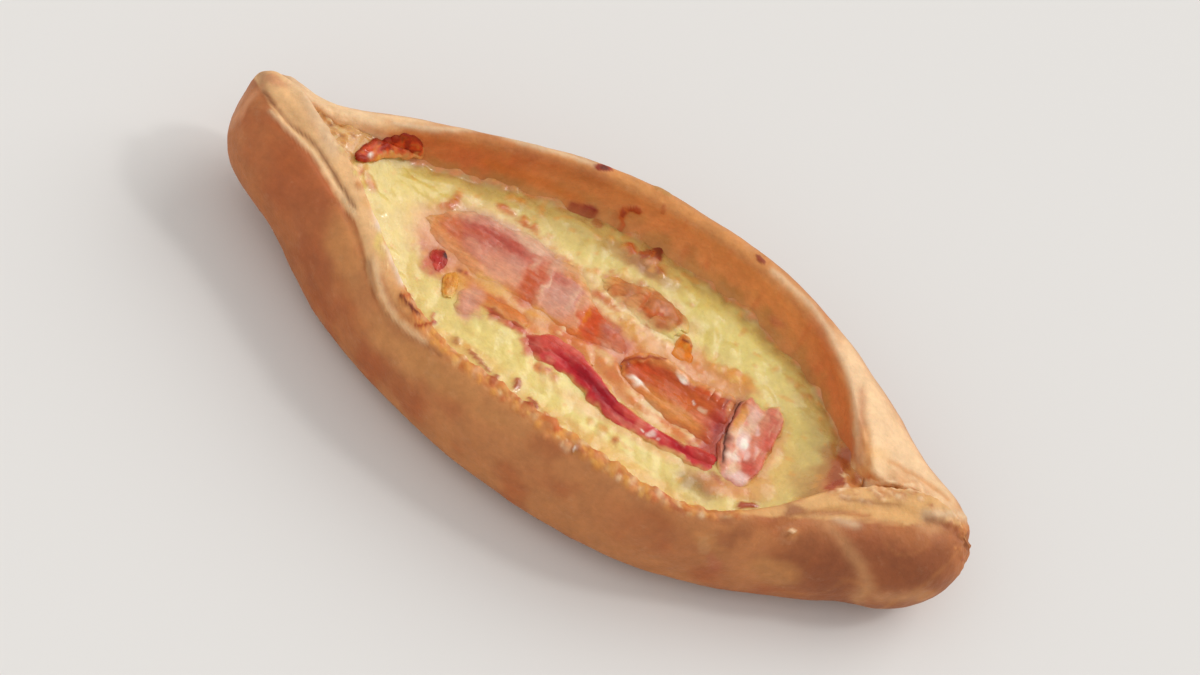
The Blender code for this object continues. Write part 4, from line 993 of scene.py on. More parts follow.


# The filling's colours as the viewer sees them, with painted shade in the trough along the far wall, laid
# out as in
# paintSpots: the cheese, then the fat and juice that ran into it, then the soft slices that melt into both
fillingSpots = (
    (40, 29, 24, 9, -8, "cheeseLight", 0.85, 0.5), (-70, 10, 14, 10, 20, "cheeseYellow", 0.8, 0.6),
    # the olive band at (-36, 28) along the far wall is painted shade in the trough
    (-36, 28, 30, 6, 10, "cheeseOlive", 0.8, 0.6), (70, 14, 7, 14, 0, "cheeseOlive", 0.55, 0.6),
    (14, 31, 12, 5, 0, "cheeseYellow", 0.5, 0.5), (-5, -27, 40, 6, -4, "cheeseLight", 0.4, 0.5),
    (62, 0, 5, 16, 0, "cheeseYellow", 0.5, 0.5), (25, 20, 3, 3, 0, "cheeseYellow", 0.9, 0.5),
    (-2, 31.4, 13, 3.6, 0, "cheeseBrown", 0.8, 0.6), (-1, 31, 5, 1.8, 0, "umber", 0.6, 0.7),
    (20, 20.4, 4, 2, 10, "cheeseOlive", 0.6, 0.6), (46, -25, 6.4, 4, 14, "bark", 0.75, 0.75),
    (52, -22, 7, 2.6, 10, "apricot", 0.6, 0.6), (60, -16, 7, 5, 20, "honey", 0.6, 0.6),
    (74, -6, 6, 5, 20, "cheeseBrown", 0.6, 0.6), (-97, 12, 8, 3.4, -30, "cheeseOlive", 0.7, 0.5),
    (-93, 11, 2, 1.2, -30, "umber", 0.6, 0.6), (-101, 14.5, 2.4, 1.2, -20, "umber", 0.5, 0.6),
    (20, -34, 32, 2.4, 0, "cheeseToast", 0.5, 0.6), (-36, -30, 20, 2.2, 0, "cheeseToast", 0.4, 0.6),
    (20, -24, 24, 2.2, 4, "peach", 0.5, 0.6), (6, -26.5, 5, 2.6, 20, "cream", 0.6, 0.5),
    (-30, 3, 33, 13, 3, "peach", 0.8, 0.4), (-2, -4, 32, 9, -6, "apricot", 0.85, 0.5),
    (28, -4, 33, 12.5, -2, "apricot", 0.8, 0.5), (-6, 3, 14, 8, 0, "rustRose", 0.4, 0.6),
    # round the curl
    (6, 19, 14, 6.4, 0, "peach", 0.7, 0.5), (-3, 19.5, 4, 3, 0, "honey", 0.8, 0.6),
    (17, 15, 2.6, 3, -30, "cheese", 0.9, 0.4), (3, 11, 14, 3.6, -4, "cream", 0.85, 0.45),
    (-4, 12.4, 4.4, 1.2, -22, "honey", 0.8, 0.5), (5.6, 8.2, 4.2, 2, 0, "gold", 0.75, 0.5),
    (2.6, 10, 1, 1, 0, "toast", 0.6, 0.5), (10.6, 10.6, 1.2, 1, 0, "toast", 0.5, 0.5),
    (12, 8.4, 4, 2.4, 0, "peach", 0.6, 0.6),
    # along the top of the wide slice
    (-36, 18, 22, 3.4, 3, "cream", 0.6, 0.5), (-34, 20.4, 6, 0.9, -2, "honey", 0.75, 0.6),
    (-35, 20.6, 2.2, 0.6, 0, "toast", 0.6, 0.6), (-45, 21.2, 2.2, 1.1, 12, "cinnamon", 0.7, 0.5),
    (-18, 16.2, 6, 1.6, -14, "cheeseToast", 0.7, 0.6), (-19, 17, 3, 0.6, -12, "crumbGold", 0.8, 0.5),
    (-57.4, 12, 1.7, 4.2, -18, "gold", 0.97, 0.3), (-57.6, 12, 0.5, 3.4, -18, "toast", 0.6, 0.6),
    (-58.6, 11.6, 0.5, 3.2, -18, "toast", 0.6, 0.6),
    # fat and juice below and between the slices
    (-53, -3, 9, 6, 0, "peach", 0.75, 0.5), (-29, -7, 19, 7.6, 0, "honey", 0.95, 0.5),
    (-27, -8, 14, 5, 0, "apricot", 0.55, 0.6), (-33.6, -4.8, 5, 2.6, 0, "fatYellow", 0.75, 0.6),
    (-19, -5.8, 5, 2.2, 10, "gold", 0.85, 0.6), (-27, -6.4, 5, 1.3, -10, "cream", 0.35, 0.6),
    (-31, -10.4, 6, 2.2, 0, "copper", 0.45, 0.6), (-22, -11.4, 5, 1.4, 0, "apricot", 0.8, 0.6),
    (-18, -8.6, 3.4, 2, 0, "wallGold", 0.85, 0.6), (-6, -5, 7, 4, 0, "apricot", 0.85, 0.5),
    (5, -8, 7, 3.4, -12, "honey", 0.85, 0.5), (-10, -7, 4, 2, 0, "ember", 0.4, 0.7),
    (4, -6, 4, 1.4, -10, "cream", 0.6, 0.6), (11, -11.6, 4, 2, -16, "ember", 0.6, 0.6),
    (27, -13, 19, 4, -1, "honey", 0.95, 0.35), (21, -11.8, 6, 1.7, -6, "cream", 0.85, 0.5),
    (31, -13.8, 6, 1.2, 4, "apricot", 0.9, 0.5), (34, -12.2, 5, 0.6, -6, "cream", 0.7, 0.6),
    (25, -15.6, 5, 1, -4, "cream", 0.7, 0.6), (13, -14.6, 4, 1.2, -14, "peach", 0.7, 0.5),
    (30, 8, 14, 4, 0, "peach", 0.85, 0.5), (27, 12, 4, 4, 0, "honey", 0.8, 0.6),
    (40, 12.4, 8, 3.4, 0, "honey", 0.85, 0.5), (41, 14.6, 4.4, 2, 0, "gold", 0.9, 0.5),
    (34, 13, 4, 2, 0, "honey", 0.5, 0.6), (43, -9, 4.4, 9, 0, "garnet", 0.9, 0.45),
    (41.6, -15, 4.4, 2.6, 0, "coral", 0.7, 0.5), (44.6, 2, 1.6, 7, 0, "garnet", 0.7, 0.6),
    (49, -20, 3, 1.6, -30, "garnet", 0.6, 0.6), (57, -19, 4.4, 1.6, 10, "peach", 0.6, 0.6),
    (60.6, -2, 1.6, 9, 0, "peach", 0.5, 0.6),
    # lean scraps and their juice
    (-52, -7, 6, 5.6, 0, "mauve", 0.6, 0.6), (-51.4, -9, 3.4, 3.4, 0, "coral", 0.8, 0.5),
    (-58.4, -6.4, 1.5, 2.4, 10, "mauve", 0.6, 0.6), (-44.4, -12, 4, 5, 12, "gold", 0.8, 0.5),
    (-37, -15, 3.6, 6.6, 4, "blush", 0.95, 0.35), (-36.8, -16.6, 1.8, 3.6, 0, "lilac", 0.6, 0.6),
    (-37.6, -11.6, 1.8, 1.4, 0, "palePink", 0.6, 0.6), (-27, -14.4, 8, 1.3, 0, "cinnamon", 0.85, 0.5),
    (-22, -14.4, 2, 0.8, 0, "garnet", 0.7, 0.6), (-29.6, -14.2, 2, 0.8, 0, "garnet", 0.6, 0.6),
    (-15, -17, 4, 2.8, -30, "coral", 0.8, 0.5), (-9.6, -22.2, 3.4, 1.6, 24, "apricot", 0.85, 0.5),
    (-8.8, -21.8, 1.8, 0.6, 34, "brown", 0.7, 0.6), (-6, -23.4, 3, 1.4, 20, "cream", 0.6, 0.6),
    # the wide slice
    (-37, 5.5, 24, 9, 3, "blush", 0.9, 0.35), (-35, 14, 19, 4, 3, "lilac", 0.9, 0.5),
    (-44, 12.6, 7, 2, 18, "dusk", 0.7, 0.7), (-30, 15, 6, 2.4, 0, "fat", 0.5, 0.7),
    (-38, 16.4, 5, 1.4, 6, "fat", 0.45, 0.7), (-41, 9, 12, 3.2, 8, "rosy", 0.97, 0.5),
    (-50, 6.4, 6, 2.8, 24, "rosy", 0.85, 0.6), (-31, 9, 5, 3.2, 0, "rosy", 0.75, 0.7),
    (-42, 10.6, 6, 1, 8, "garnet", 0.4, 0.7), (-34, 10.8, 3, 0.8, 0, "garnet", 0.25, 0.7),
    (-46, 7.6, 4, 1, 14, "rustRose", 0.6, 0.7), (-36.6, 5.2, 9, 2.4, 4, "dusk", 0.85, 0.6),
    (-31.4, 6, 3, 3, 0, "lilac", 0.5, 0.7), (-56, 4, 5, 4, 0, "honey", 0.8, 0.6),
    (-54, 4.6, 3.4, 3.4, 0, "rustRose", 0.75, 0.7), (-49, 2, 4, 2, -10, "rustRose", 0.5, 0.7),
    (-47, -0.8, 8, 2.2, -6, "honey", 0.6, 0.6), (-42, 1.4, 6, 1.8, -4, "dusk", 0.7, 0.7),
    (-33.6, 1.4, 5, 3, 0, "blush", 0.7, 0.6), (-36, -2.2, 5, 1.2, 0, "palePink", 0.7, 0.6),
    (-24.4, 3.6, 3.2, 8, 3, "rustRose", 0.95, 0.5), (-24.4, 0.8, 1.8, 4, 3, "copper", 0.8, 0.6),
    (-26.4, 9, 1, 2.6, 10, "fat", 0.4, 0.7), (-22.6, 7.4, 0.8, 3.4, 4, "ember", 0.4, 0.7),
    (-24, -3, 4, 2, 0, "copper", 0.5, 0.7), (-15.6, 6, 6.4, 7.2, 0, "dusk", 0.95, 0.35),
    (-15.2, 4.6, 5, 4.6, 0, "lilac", 0.85, 0.5), (-18.2, 9.4, 2.4, 1.6, 0, "rosy", 0.6, 0.7),
    (-20.8, 3, 0.6, 6, 2, "fat", 0.6, 0.6), (-12, 12, 6, 1.4, -10, "honey", 0.7, 0.6),
    (-15.6, 0.6, 5.4, 1.4, 0, "blush", 0.8, 0.6), (-12.4, 6, 0.7, 5, 0, "fat", 0.45, 0.7),
    (-15.6, 7, 1, 4, 6, "dusk", 0.5, 0.7), (-15.4, -1.6, 6, 2.8, 0, "blush", 0.9, 0.5),
    (-15.4, 1, 4.6, 5, 0, "lilac", 0.45, 0.6), (-8.9, 4, 1.1, 7.4, 2, "palePink", 0.85, 0.5),
    (-4.6, 1.2, 3.8, 6.4, 4, "ember", 1.0, 0.4), (-6.6, 3, 0.9, 4, 4, "amber", 0.7, 0.6),
    (-3.2, 3.4, 1.4, 2, 0, "brick", 0.8, 0.6), (-4, -2.6, 1.8, 2, 0, "brick", 0.6, 0.7),
    (0.4, 1.4, 1.6, 4, 4, "copper", 0.9, 0.6), (4.4, 1.6, 5.6, 3.4, -10, "mauve", 0.97, 0.45),
    (2.4, 1.8, 2.6, 1.6, -14, "rosy", 0.7, 0.6), (6.6, 0.6, 3.6, 2, -14, "toast", 0.55, 0.6),
    (2, 3.4, 3, 1, -10, "dusk", 0.6, 0.7), (8.4, 0, 1.4, 1.6, 0, "copper", 0.7, 0.7),
    (4.4, -2.8, 5, 1.4, -6, "blush", 0.85, 0.6), (-1, -3.8, 2.4, 1.4, 0, "ember", 0.7, 0.7),
)


def groundTone(places):
    # the filling's colour at some places on it, with borders ragged in two sizes
    seen = asSeen(places)
    flat = levelled(*seen.T)
    for length, reach in ((4, 1.6), (1.4, 0.8)):
        seen = seen + reach * mm * sway(flat, length * mm, (1.0, 9.0))
    tone = np.tile(linear(tints["cheese"]), (len(places), 1))
    paintSpots(tone, seen, fillingSpots)
    return tone


def cheeseRing(x):
    # the underside of the cheese, a little way into the dough, and then its top, still without heights
    section = crossSection(x)
    trough = section[cheeseEdge - 3 : len(section) - cheeseEdge + 4]
    along = trough[2:] - trough[:-2]
    outwards = np.column_stack([along[:, 1], -along[:, 0]])
    outwards /= np.hypot(*outwards.T)[:, None]
    bed = (trough[1:-1] + outwards * cheese["into"])[2:-2]
    tops = np.linspace(bed[-1][0], bed[0][0], cheese["across"] + 1)[1:-1]
    return np.vstack([bed, np.column_stack([tops, np.full(len(tops), np.nan)])])


def cheeseTop(x, y):
    # how high the sheet lies with its curds: it climbs both walls, dips before the far one and is crumbly
    # in the pocket at the left end
    nearY, _, farY, _ = edgesAt(x)
    toWall = np.minimum(y - nearY, farY - y)
    flat = levelled(x, y)
    climb = np.exp(-np.maximum(toWall, 0) / cheese["climb"]) * (0.6 + 1.6 * noiseAt(flat, 5 * mm,
                                                                                    14.0)) * mm
    dip = 1.6 * mm * ease(9 * mm, 1 * mm, farY - y) * ease(-84 * mm, -66 * mm, x)
    rough = noiseAt(flat, 2.6 * mm, 16.0) + 0.5 * noiseAt(flat, 1.2 * mm, 6.0)
    pocket = ease(-85 * mm, -94 * mm, x) * (1.3 + 1.1 * rough) * mm
    return cheeseHeight(x, y) + curdHeight(x, y) + climb - dip + pocket


def paintCheeseEdges(tone, places):
    x, y = places[:, 0], places[:, 1]
    nearY, _, farY, _ = edgesAt(x)
    tintOver(tone, "cheeseToast", 0.8 * np.exp(-np.maximum(y - nearY, 0) / (2.2 * mm)))
    ragged = np.maximum(farY - y, 0) + 2.2 * mm * noiseAt(places, 3.4 * mm, 13.0)
    for tint, reach, strength in farBrowningAndShade:
        tintOver(tone, tint, strength * ease(reach * mm, 0.3 * reach * mm, ragged))
    uneven = x + 4 * mm * noiseAt(places, 4 * mm, 15.0)
    for tint, start, full in endFilm:
        tintOver(tone, tint, 0.85 * ease(start * mm, full * mm, uneven))
    tintOver(tone, "cheeseToast", 0.5 * ease(0.42, 0.6, noiseAt(places, 3 * mm, 21.0)))


def makeCheese():
    xs = stationList(cheese["stations"])
    xs = xs[(xs > cheese["reach"][0]) & (xs < cheese["reach"][1])]
    rings = np.array([cheeseRing(x) for x in xs])
    topCount = cheese["across"] - 1
    tops = rings[:, -topCount:]
    tops[:, :, 1] = cheeseTop(np.repeat(xs, topCount), tops[:, :, 0].ravel()).reshape(len(xs), topCount)
    ends = [(xs[i] + math.copysign(cheese["endLength"], xs[i]), *rings[i].mean(axis=0)) for i in (0, -1)]
    bm, _ = ringSolid(xs, rings, ends)
    places = placesOf(bm)
    plan = asSeen(places)
    tone = groundTone(places)
    paintCheeseEdges(tone, places)
    crumbs = strewCrumbs(fillingCrumbs, cheese["crumbSeed"], fillingCrumbSizes)
    crumbLook = cheese["crumbHigh"], cheese["crumbStrength"], cheese["crumbFoot"]
    up = crumbRelief(plan, crumbs, tone, *crumbLook)
    jitter = 0.7 * mm * sway(places, 2 * mm, (1.0, 9.0))
    up += raiseMarks(plan + jitter, facingEye(normalsOf(bm)), tone, burntMarksAndSeamLight, crust["burntHalo"])
    moveTo(bm, warped(places + up[:, None] * np.array((0, 0, 1))))
    return addPiece("cheese", bm, tone, cheeseMaterial(), ["cheese_filling"])


# Slices as seen from above, in mm: rows of x, near edge, far edge, and how high both edges stand off the
# cheese (below zero they are sunk in it). Spots are as in paintSpots.
slices = dict(
    baconWide=dict(
        replaced="bacon_wide_slice", slot="bacon_pale", base=None, turn=4, thick=1.3, sink=0.5, wave=0.3,
        waves=4.5, rough=1.3, fade=(1, 0), marble=0.1,
        rows=((-61.5, 1.5, 7.5, -1.0, -0.8), (-56, -2, 12.5, -1.1, -0.3), (-47, -4, 17, -1.1, -0.3),
              (-34, -6, 19.5, -1.2, -0.4), (-22, -5, 19.5, -1.2, -0.4), (-13, -5.5, 17.5, -1.1, -0.4),
              (-5, -5, 9.5, -0.9, -0.3), (2, -3.5, 6, -0.9, -0.1), (9, -2, 3.6, -0.9, -0.4)),
        spots=()),
    baconCrisp=dict(
        replaced="bacon_crisp_slice", slot="bacon_crisp", base="copper", turn=-3, thick=1.5, sink=0.3,
        wave=0.3, waves=2.4, rough=1.4, fade=(3.0, 1.0), marble=0.06,
        rows=((8.8, -6.4, -3.2, 0.8, 1.8), (13, -8.8, 1.6, -0.8, 2.2), (20, -10.4, 4.4, -1.3, 1.8),
              (30, -12.2, 5.2, -1.6, 0.8), (38, -12.4, 7.4, -1.6, 0.8), (44.4, -11.6, 8.8, -1.3, 0.4)),
        spots=((14.6, -3.2, 4.4, 2.6, 10, "ember", 0.9, 0.6), (19, -1, 3, 1.6, 20, "brick", 0.6, 0.7),
               # the brown stripes along the near side of the curled ridge are painted shade, and the thin
               # peach lines on its top painted highlight
               (24, 0.2, 8, 1.3, 2, "brown", 0.6, 0.7), (33, -1, 7, 1, -4, "toast", 0.6, 0.7),
               (33, -5, 7, 2.2, 0, "apricot", 0.4, 0.7), (24, -4.6, 6, 2, 0, "toast", 0.5, 0.7),
               (39, -6.6, 4, 2.6, 0, "rosePink", 0.5, 0.7), (28, -9.4, 12, 2.4, -2, "honey", 0.85, 0.6),
               (12, -0.4, 4.8, 1.7, 48, "brick", 0.95, 0.5), (18, 3.8, 5, 1.5, 18, "ember", 0.95, 0.5),
               (11.4, -1.4, 3, 0.7, 54, "brown", 0.7, 0.6), (10, -4.4, 1, 2, 10, "maroon", 0.9, 0.5),
               (16.8, 1.8, 4, 0.7, 36, "brown", 0.6, 0.6), (23.4, 2.8, 2.6, 0.6, 4, "brown", 0.8, 0.6),
               (13.2, 0.8, 1.8, 0.5, 46, "peach", 0.7, 0.6), (19.8, 4.6, 1.8, 0.5, 12, "peach", 0.7, 0.6),
               (22.6, 5, 1.2, 0.8, 0, "amber", 0.7, 0.6), (29, 4.2, 4, 1.7, 8, "peach", 0.85, 0.6),
               (30.6, 2.4, 3, 0.6, 4, "burnt", 0.35, 0.7), (34, 3.6, 2.6, 2.2, 0, "ember", 0.7, 0.7),
               (38.8, 6, 2.8, 2, 10, "rosePink", 0.8, 0.6), (35.6, 5.4, 0.5, 2.2, 10, "fat", 0.85, 0.5),
               (38, 6.4, 0.4, 1.6, 6, "fatAndHighlightWhite", 0.7, 0.5), (40.8, 4, 0.6, 3.4, 6, "burnt", 0.7, 0.6),
               (36.8, 4.4, 0.5, 2.4, 8, "brown", 0.8, 0.5), (42.4, 6, 0.8, 2.4, 0, "copper", 0.6, 0.6),
               # near-white spots of fat, painted bright also as highlights on it
               (26.2, 2.8, 1.7, 1.1, -34, "fatAndHighlightWhite", 0.97, 0.5),
               (24.6, 4.4, 0.9, 0.6, 20, "fatAndHighlightWhite", 0.7, 0.5),
               (15.2, -8.2, 2.6, 1, -6, "fatAndHighlightWhite", 0.97, 0.5), (18.4, -8.8, 1.4, 0.6, -6, "fat", 0.8, 0.6),
               (36, -3.2, 1.2, 0.9, 20, "fat", 0.8, 0.6), (33, -2.6, 0.6, 0.4, 0, "fatAndHighlightWhite", 0.7, 0.6),
               (41.4, -5, 2.8, 6, 0, "garnet", 0.9, 0.7), (43.6, -7, 1.7, 5, 6, "wine", 0.85, 0.6))),
    baconLean=dict(
        replaced="bacon_lean_edge", slot="bacon_lean", base="leanRed", turn=-6, thick=1.5, sink=0.5,
        wave=0.3, waves=3, rough=2.4, fade=(1.8, 0.95), marble=0.05, soft=0.08, coat=0.14,
        rows=((-19.4, -18.6, -13.4, -1.3, -1.2), (-12, -20.4, -8, -1.1, -0.9), (-4, -19, -7.6, -1.1, -0.5),
              (6, -21.8, -12, -0.9, 0.1), (15, -24.2, -15.4, -0.7, 0.0), (26, -22.2, -16.4, -0.8, -0.5),
              (35, -20.8, -15.4, -0.8, -0.2), (41, -20.6, -14, -0.7, -0.2),
              (47.4, -19.6, -12.4, -1.0, -0.6)),
        spots=((-13, -13.6, 6, 3, -10, "coral", 0.8, 0.6), (-7, -10.6, 7, 1.6, -6, "rosePink", 0.55, 0.6),
               (-4, -13, 6, 1.4, -14, "coral", 0.6, 0.6), (6, -13, 6, 1.1, -16, "rosePink", 0.7, 0.6),
               (4, -17.6, 10, 2.5, -16, "crimson", 0.95, 0.5),
               (13, -20.4, 8, 2.6, -12, "crimson", 0.95, 0.5),
               (-4, -15.8, 6, 1.6, -10, "crimson", 0.7, 0.6), (7, -18.4, 9, 1.6, -18, "wine", 0.7, 0.7),
               (12, -16.2, 4, 0.9, -20, "rosy", 0.7, 0.6), (-15, -16.6, 3.4, 2, -20, "rosy", 0.7, 0.5),
               (-16.6, -15.6, 1, 1, 0, "garnet", 0.9, 0.5), (-13.2, -18.4, 1.2, 1, 0, "garnet", 0.85, 0.5),
               (-11.4, -16.2, 0.8, 1, 0, "garnet", 0.7, 0.5),
               (-9.4, -18.6, 1.4, 0.8, 0, "rosePink", 0.7, 0.5), (19, -19.2, 4, 1, 0, "coral", 0.7, 0.6),
               (18, -23, 5, 1, 6, "rosePink", 0.5, 0.6), (23, -20.6, 1.6, 1.8, 0, "rosePink", 0.7, 0.6),
               (26.6, -20.8, 1.2, 1.2, 10, "pinkWhite", 0.95, 0.4),
               (25.2, -18.4, 0.9, 0.8, 0, "pinkWhite", 0.9, 0.4),
               (24.3, -21.4, 0.6, 0.6, 0, "fatAndHighlightWhite", 0.8, 0.4),
               (27.6, -18.8, 0.5, 0.7, 0, "pinkWhite", 0.8, 0.4),
               (29, -20.6, 0.7, 0.5, 0, "pinkWhite", 0.7, 0.5), (34, -17, 5, 1, 0, "coral", 0.6, 0.6),
               (36, -18.8, 6.5, 0.8, 2, "crimson", 0.9, 0.5), (43, -17.4, 3.4, 2, 0, "garnet", 0.6, 0.6))),
    baconEnd=dict(
        replaced="bacon_end_piece", slot="bacon_end", base="rosePink", turn=84, thick=1.5, sink=0.3,
        wave=0.2, waves=1.3, rough=1.2, fade=(1.1, 0.85), marble=0.3,
        rows=((44.4, -12, 8.6, 1.2, 1.6), (48, -16.6, 9.6, 0.5, 1.4), (52.5, -18.8, 9.8, -0.5, 0.8),
              (56.5, -18.8, 11.6, -0.5, 1.6), (60, -14.6, 8.4, 0.4, 1.8)),
        spots=((55.4, 4, 4, 6, 4, "rosy", 0.5, 0.95), (57, -2, 3.4, 6, 4, "coral", 0.6, 0.95),
               (56, -12.4, 3, 3, 0, "rosy", 0.85, 0.6), (56.4, -12.8, 1.8, 1.8, 0, "coral", 0.7, 0.6),
               (53, 2, 2.4, 9, 4, "palePink", 0.5, 0.9), (49.6, 4, 3.6, 6, 6, "blush", 0.9, 0.6),
               (50.4, 3, 2, 4.4, 6, "pinkWhite", 0.55, 0.7), (49, -4.6, 3, 7.6, -8, "fat", 0.85, 0.5),
               # the near-white spots on the fat band are fat and partly painted highlights on it
               (51, -6, 2.4, 3.2, 20, "pinkWhite", 0.97, 0.5),
               (51.6, -5.6, 1.2, 1.6, 20, "fatAndHighlightWhite", 0.9, 0.5),
               (50.4, -12, 1.8, 2.2, 20, "fatAndHighlightWhite", 0.7, 0.6),
               (48.6, -9, 1, 1.6, 10, "rosePink", 0.7, 0.6), (48.4, -3, 0.9, 1.4, 0, "fatAndHighlightWhite", 0.6, 0.6),
               (49, 0.4, 1.1, 1.2, 0, "rosePink", 0.7, 0.6), (46.8, 3, 0.9, 4.4, 4, "gold", 0.7, 0.5),
               (46.4, 6.4, 0.8, 1.1, 0, "brown", 0.8, 0.5), (47, -2, 0.8, 1.8, 4, "crumbGold", 0.7, 0.5),
               (53.6, 0, 0.7, 1.6, 10, "pinkWhite", 0.7, 0.6), (54.4, 6, 0.6, 1.4, -10, "blush", 0.8, 0.6),
               (55.6, -6.4, 0.6, 2.4, 12, "pinkWhite", 0.6, 0.6), (57.4, 3, 0.6, 2, 0, "blush", 0.7, 0.6),
               (54, -9, 0.9, 1.4, 0, "pinkWhite", 0.75, 0.6), (58, -6, 0.6, 1.4, 0, "blush", 0.6, 0.6),
               (55, -17.2, 5, 1.9, 4, "pinkWhite", 0.95, 0.5), (51.8, -15.4, 1.8, 2, -20, "fat", 0.9, 0.6),
               (57.6, 9.4, 1.6, 2.2, 0, "palePink", 0.8, 0.6), (57.6, 10.8, 0.7, 0.9, 0, "ruby", 0.7, 0.5),
               (59.5, -3, 0.7, 3.4, 0, "brown", 0.95, 0.5), (59.6, 4, 0.5, 4, 0, "rustRose", 0.7, 0.5),
               (46.4, -8, 1.3, 4, 14, "wine", 0.75, 0.7))),
    baconMelted=dict(
        replaced="bacon_melted_slice", slot="bacon_greasy", base=None, turn=2, thick=1.2, sink=0.6,
        wave=0.3, waves=2.5, rough=1.8, fade=(1, 0), marble=0.08,
        rows=((-41, -19, -9, -1.0, -0.6), (-35, -19.6, -8.2, -1.0, -0.6), (-31, -14.4, -7.8, -0.8, -0.6),
              (-25, -14, -7.4, -0.8, -0.6), (-19.5, -12.6, -8.2, -0.8, -0.6)),
        spots=()),
    baconCurl=dict(
        replaced="bacon_back_curl", slot="bacon_brown", base=None, turn=20, thick=1.3, sink=0.4, wave=0.4,
        waves=2, rough=2.6, fade=(2, 0.9), marble=0.08,
        rows=((-8.6, 17, 22, -1.3, -1.2), (-1, 14.6, 25, -1.3, -1.3), (6, 13, 26.4, -1.3, -1.2),
              (13, 12, 26.4, -1.3, -1.4), (20.4, 14, 22, -2.0, -2.0)),
        spots=((0.6, 19.6, 5.8, 4.4, 0, "cinnamon", 0.6, 0.7), (-1.5, 21.1, 2, 1.5, 0, "umber", 0.35, 0.7),
               (0.6, 18.8, 1.2, 1.8, 0, "blush", 0.6, 0.7), (2.6, 21.8, 0.9, 1.8, 25, "toast", 0.5, 0.7),
               (-3.2, 17.3, 0.9, 1.1, 0, "toast", 0.45, 0.7),
               (11.4, 20, 6.1, 5.1, 0, "cinnamon", 0.85, 0.5), (9.4, 24.9, 1.8, 1.1, 13, "honey", 0.6, 0.6),
               (13.8, 23.7, 1.5, 1.1, -25, "honey", 0.5, 0.6),
               (11.7, 20.3, 2.6, 1.8, 0, "blush", 0.95, 0.5), (5.3, 20, 1.1, 2.9, 13, "toast", 0.7, 0.6),
               (8.2, 16.6, 2.6, 1.1, -10, "toast", 0.9, 0.5), (11.1, 17.7, 2, 0.8, -5, "copper", 0.85, 0.5),
               (13.7, 15.5, 2, 1.1, 10, "brown", 0.55, 0.6), (16.4, 19.2, 0.9, 2.9, 13, "brown", 0.4, 0.7),
               (7, 23.7, 1.5, 0.8, 25, "brown", 0.45, 0.6), (6.1, 15.5, 0.9, 0.7, 0, "blush", 0.5, 0.6))),
    baconFlap=dict(
        replaced="bacon_crisp_flap", slot="bacon_toasted", base="amber", turn=70, thick=1.0, sink=0.4,
        wave=0.1, waves=1, rough=1.0, fade=(0.9, 0.35), marble=0.0,
        rows=((19.4, 8.6, 15.6, 0.2, 2.6), (21.6, 7.6, 16.4, -0.5, 2.4), (24, 8, 15.8, -0.8, 1.2),
              (26.6, 9, 12.4, -0.9, -0.4)),
        spots=((21.4, 15.6, 1.5, 0.8, 0, "burnt", 0.95, 0.4), (23.6, 15, 0.8, 0.7, 0, "brown", 0.8, 0.5),
               (21.6, 9.6, 1.6, 1.6, 0, "honey", 0.7, 0.6), (22.6, 13.4, 0.6, 1.6, 0, "gold", 0.7, 0.5))),
)
sliceCell = 0.5  # in mm
# how much the corners and the ends of every slice are drawn in
sliceOutline = dict(cornerBow=0.35, endNarrow=0.2)
# ripples of its ragged edge: size in mm, and share
sliceRipples = (3.4, 1.0), (1.4, 0.45)
# the share of its thickness that a slice keeps at its rim
sliceRim = 0.12
# dark lines painted along the curled edge of the crisp slice and along the left edge of the end piece
darkEdgeLines = dict(
    baconEnd=(((44.6, 8.6), (44.4, 3), (45, -3), (46.4, -9), (48.6, -15)), 0.55, "coal", 0.9),
    baconCrisp=(((8.8, -5.8), (9.6, -3), (12, 0.4), (15.4, 3.2), (19, 5)), 0.45, "maroon", 0.75),
)


# Ridges and hollows of the slices in mm: a path, half width and height
ridges = dict(
    baconWide=((((-22, 13), (-21, 4), (-20.6, -4)), 0.8, 0.35), (((-9, 9), (-8.4, 2), (-8, -5)), 0.8, 0.35),
               (((-52, 11), (-40, 12.4), (-28, 11.6)), 1.0, 0.3)),
    baconCrisp=((((9.4, -5), (12, -0.6), (16, 2.8), (22, 4.4), (27, 3.6)), 1.3, 1.0),
                (((15, -2.6), (24, -1.4), (34, -2.4), (41, -4)), 2.4, -0.6),
                (((15, -8.4), (28, -9.6), (40, -9)), 1.2, 0.5),
                (((35, 2), (35.6, 7)), 0.5, 0.5), (((37.4, 3), (37.8, 8)), 0.5, 0.5),
                (((40, 2), (40.6, 8.4)), 0.5, 0.4)),
    baconLean=((((-14, -12), (2, -14.4), (15, -18.4), (30, -18.6), (45, -15.6)), 1.0, 0.5),
               (((-10, -16.4), (4, -19.4), (14, -22.4)), 1.2, 0.3)),
    baconEnd=((((47.2, 8), (46.8, -4), (49.4, -16)), 0.9, 0.5),
              (((53.2, 8), (52.8, -4), (54, -13)), 0.8, -0.15),
              (((58.6, 9), (59, -4), (58, -13)), 0.8, 0.5), (((52, -17), (58, -17)), 1.2, 0.6)),
    baconCurl=((((8.4, 16.4), (8.2, 21.6), (12, 23.2), (15.4, 20), (14.4, 16.4), (11, 15.4)), 1.3, 1.3),
               (((-3.6, 18), (0, 21.4), (4, 22.4)), 1.1, 1.1), (((2, 17), (4, 20)), 1.1, 1.0)),
)


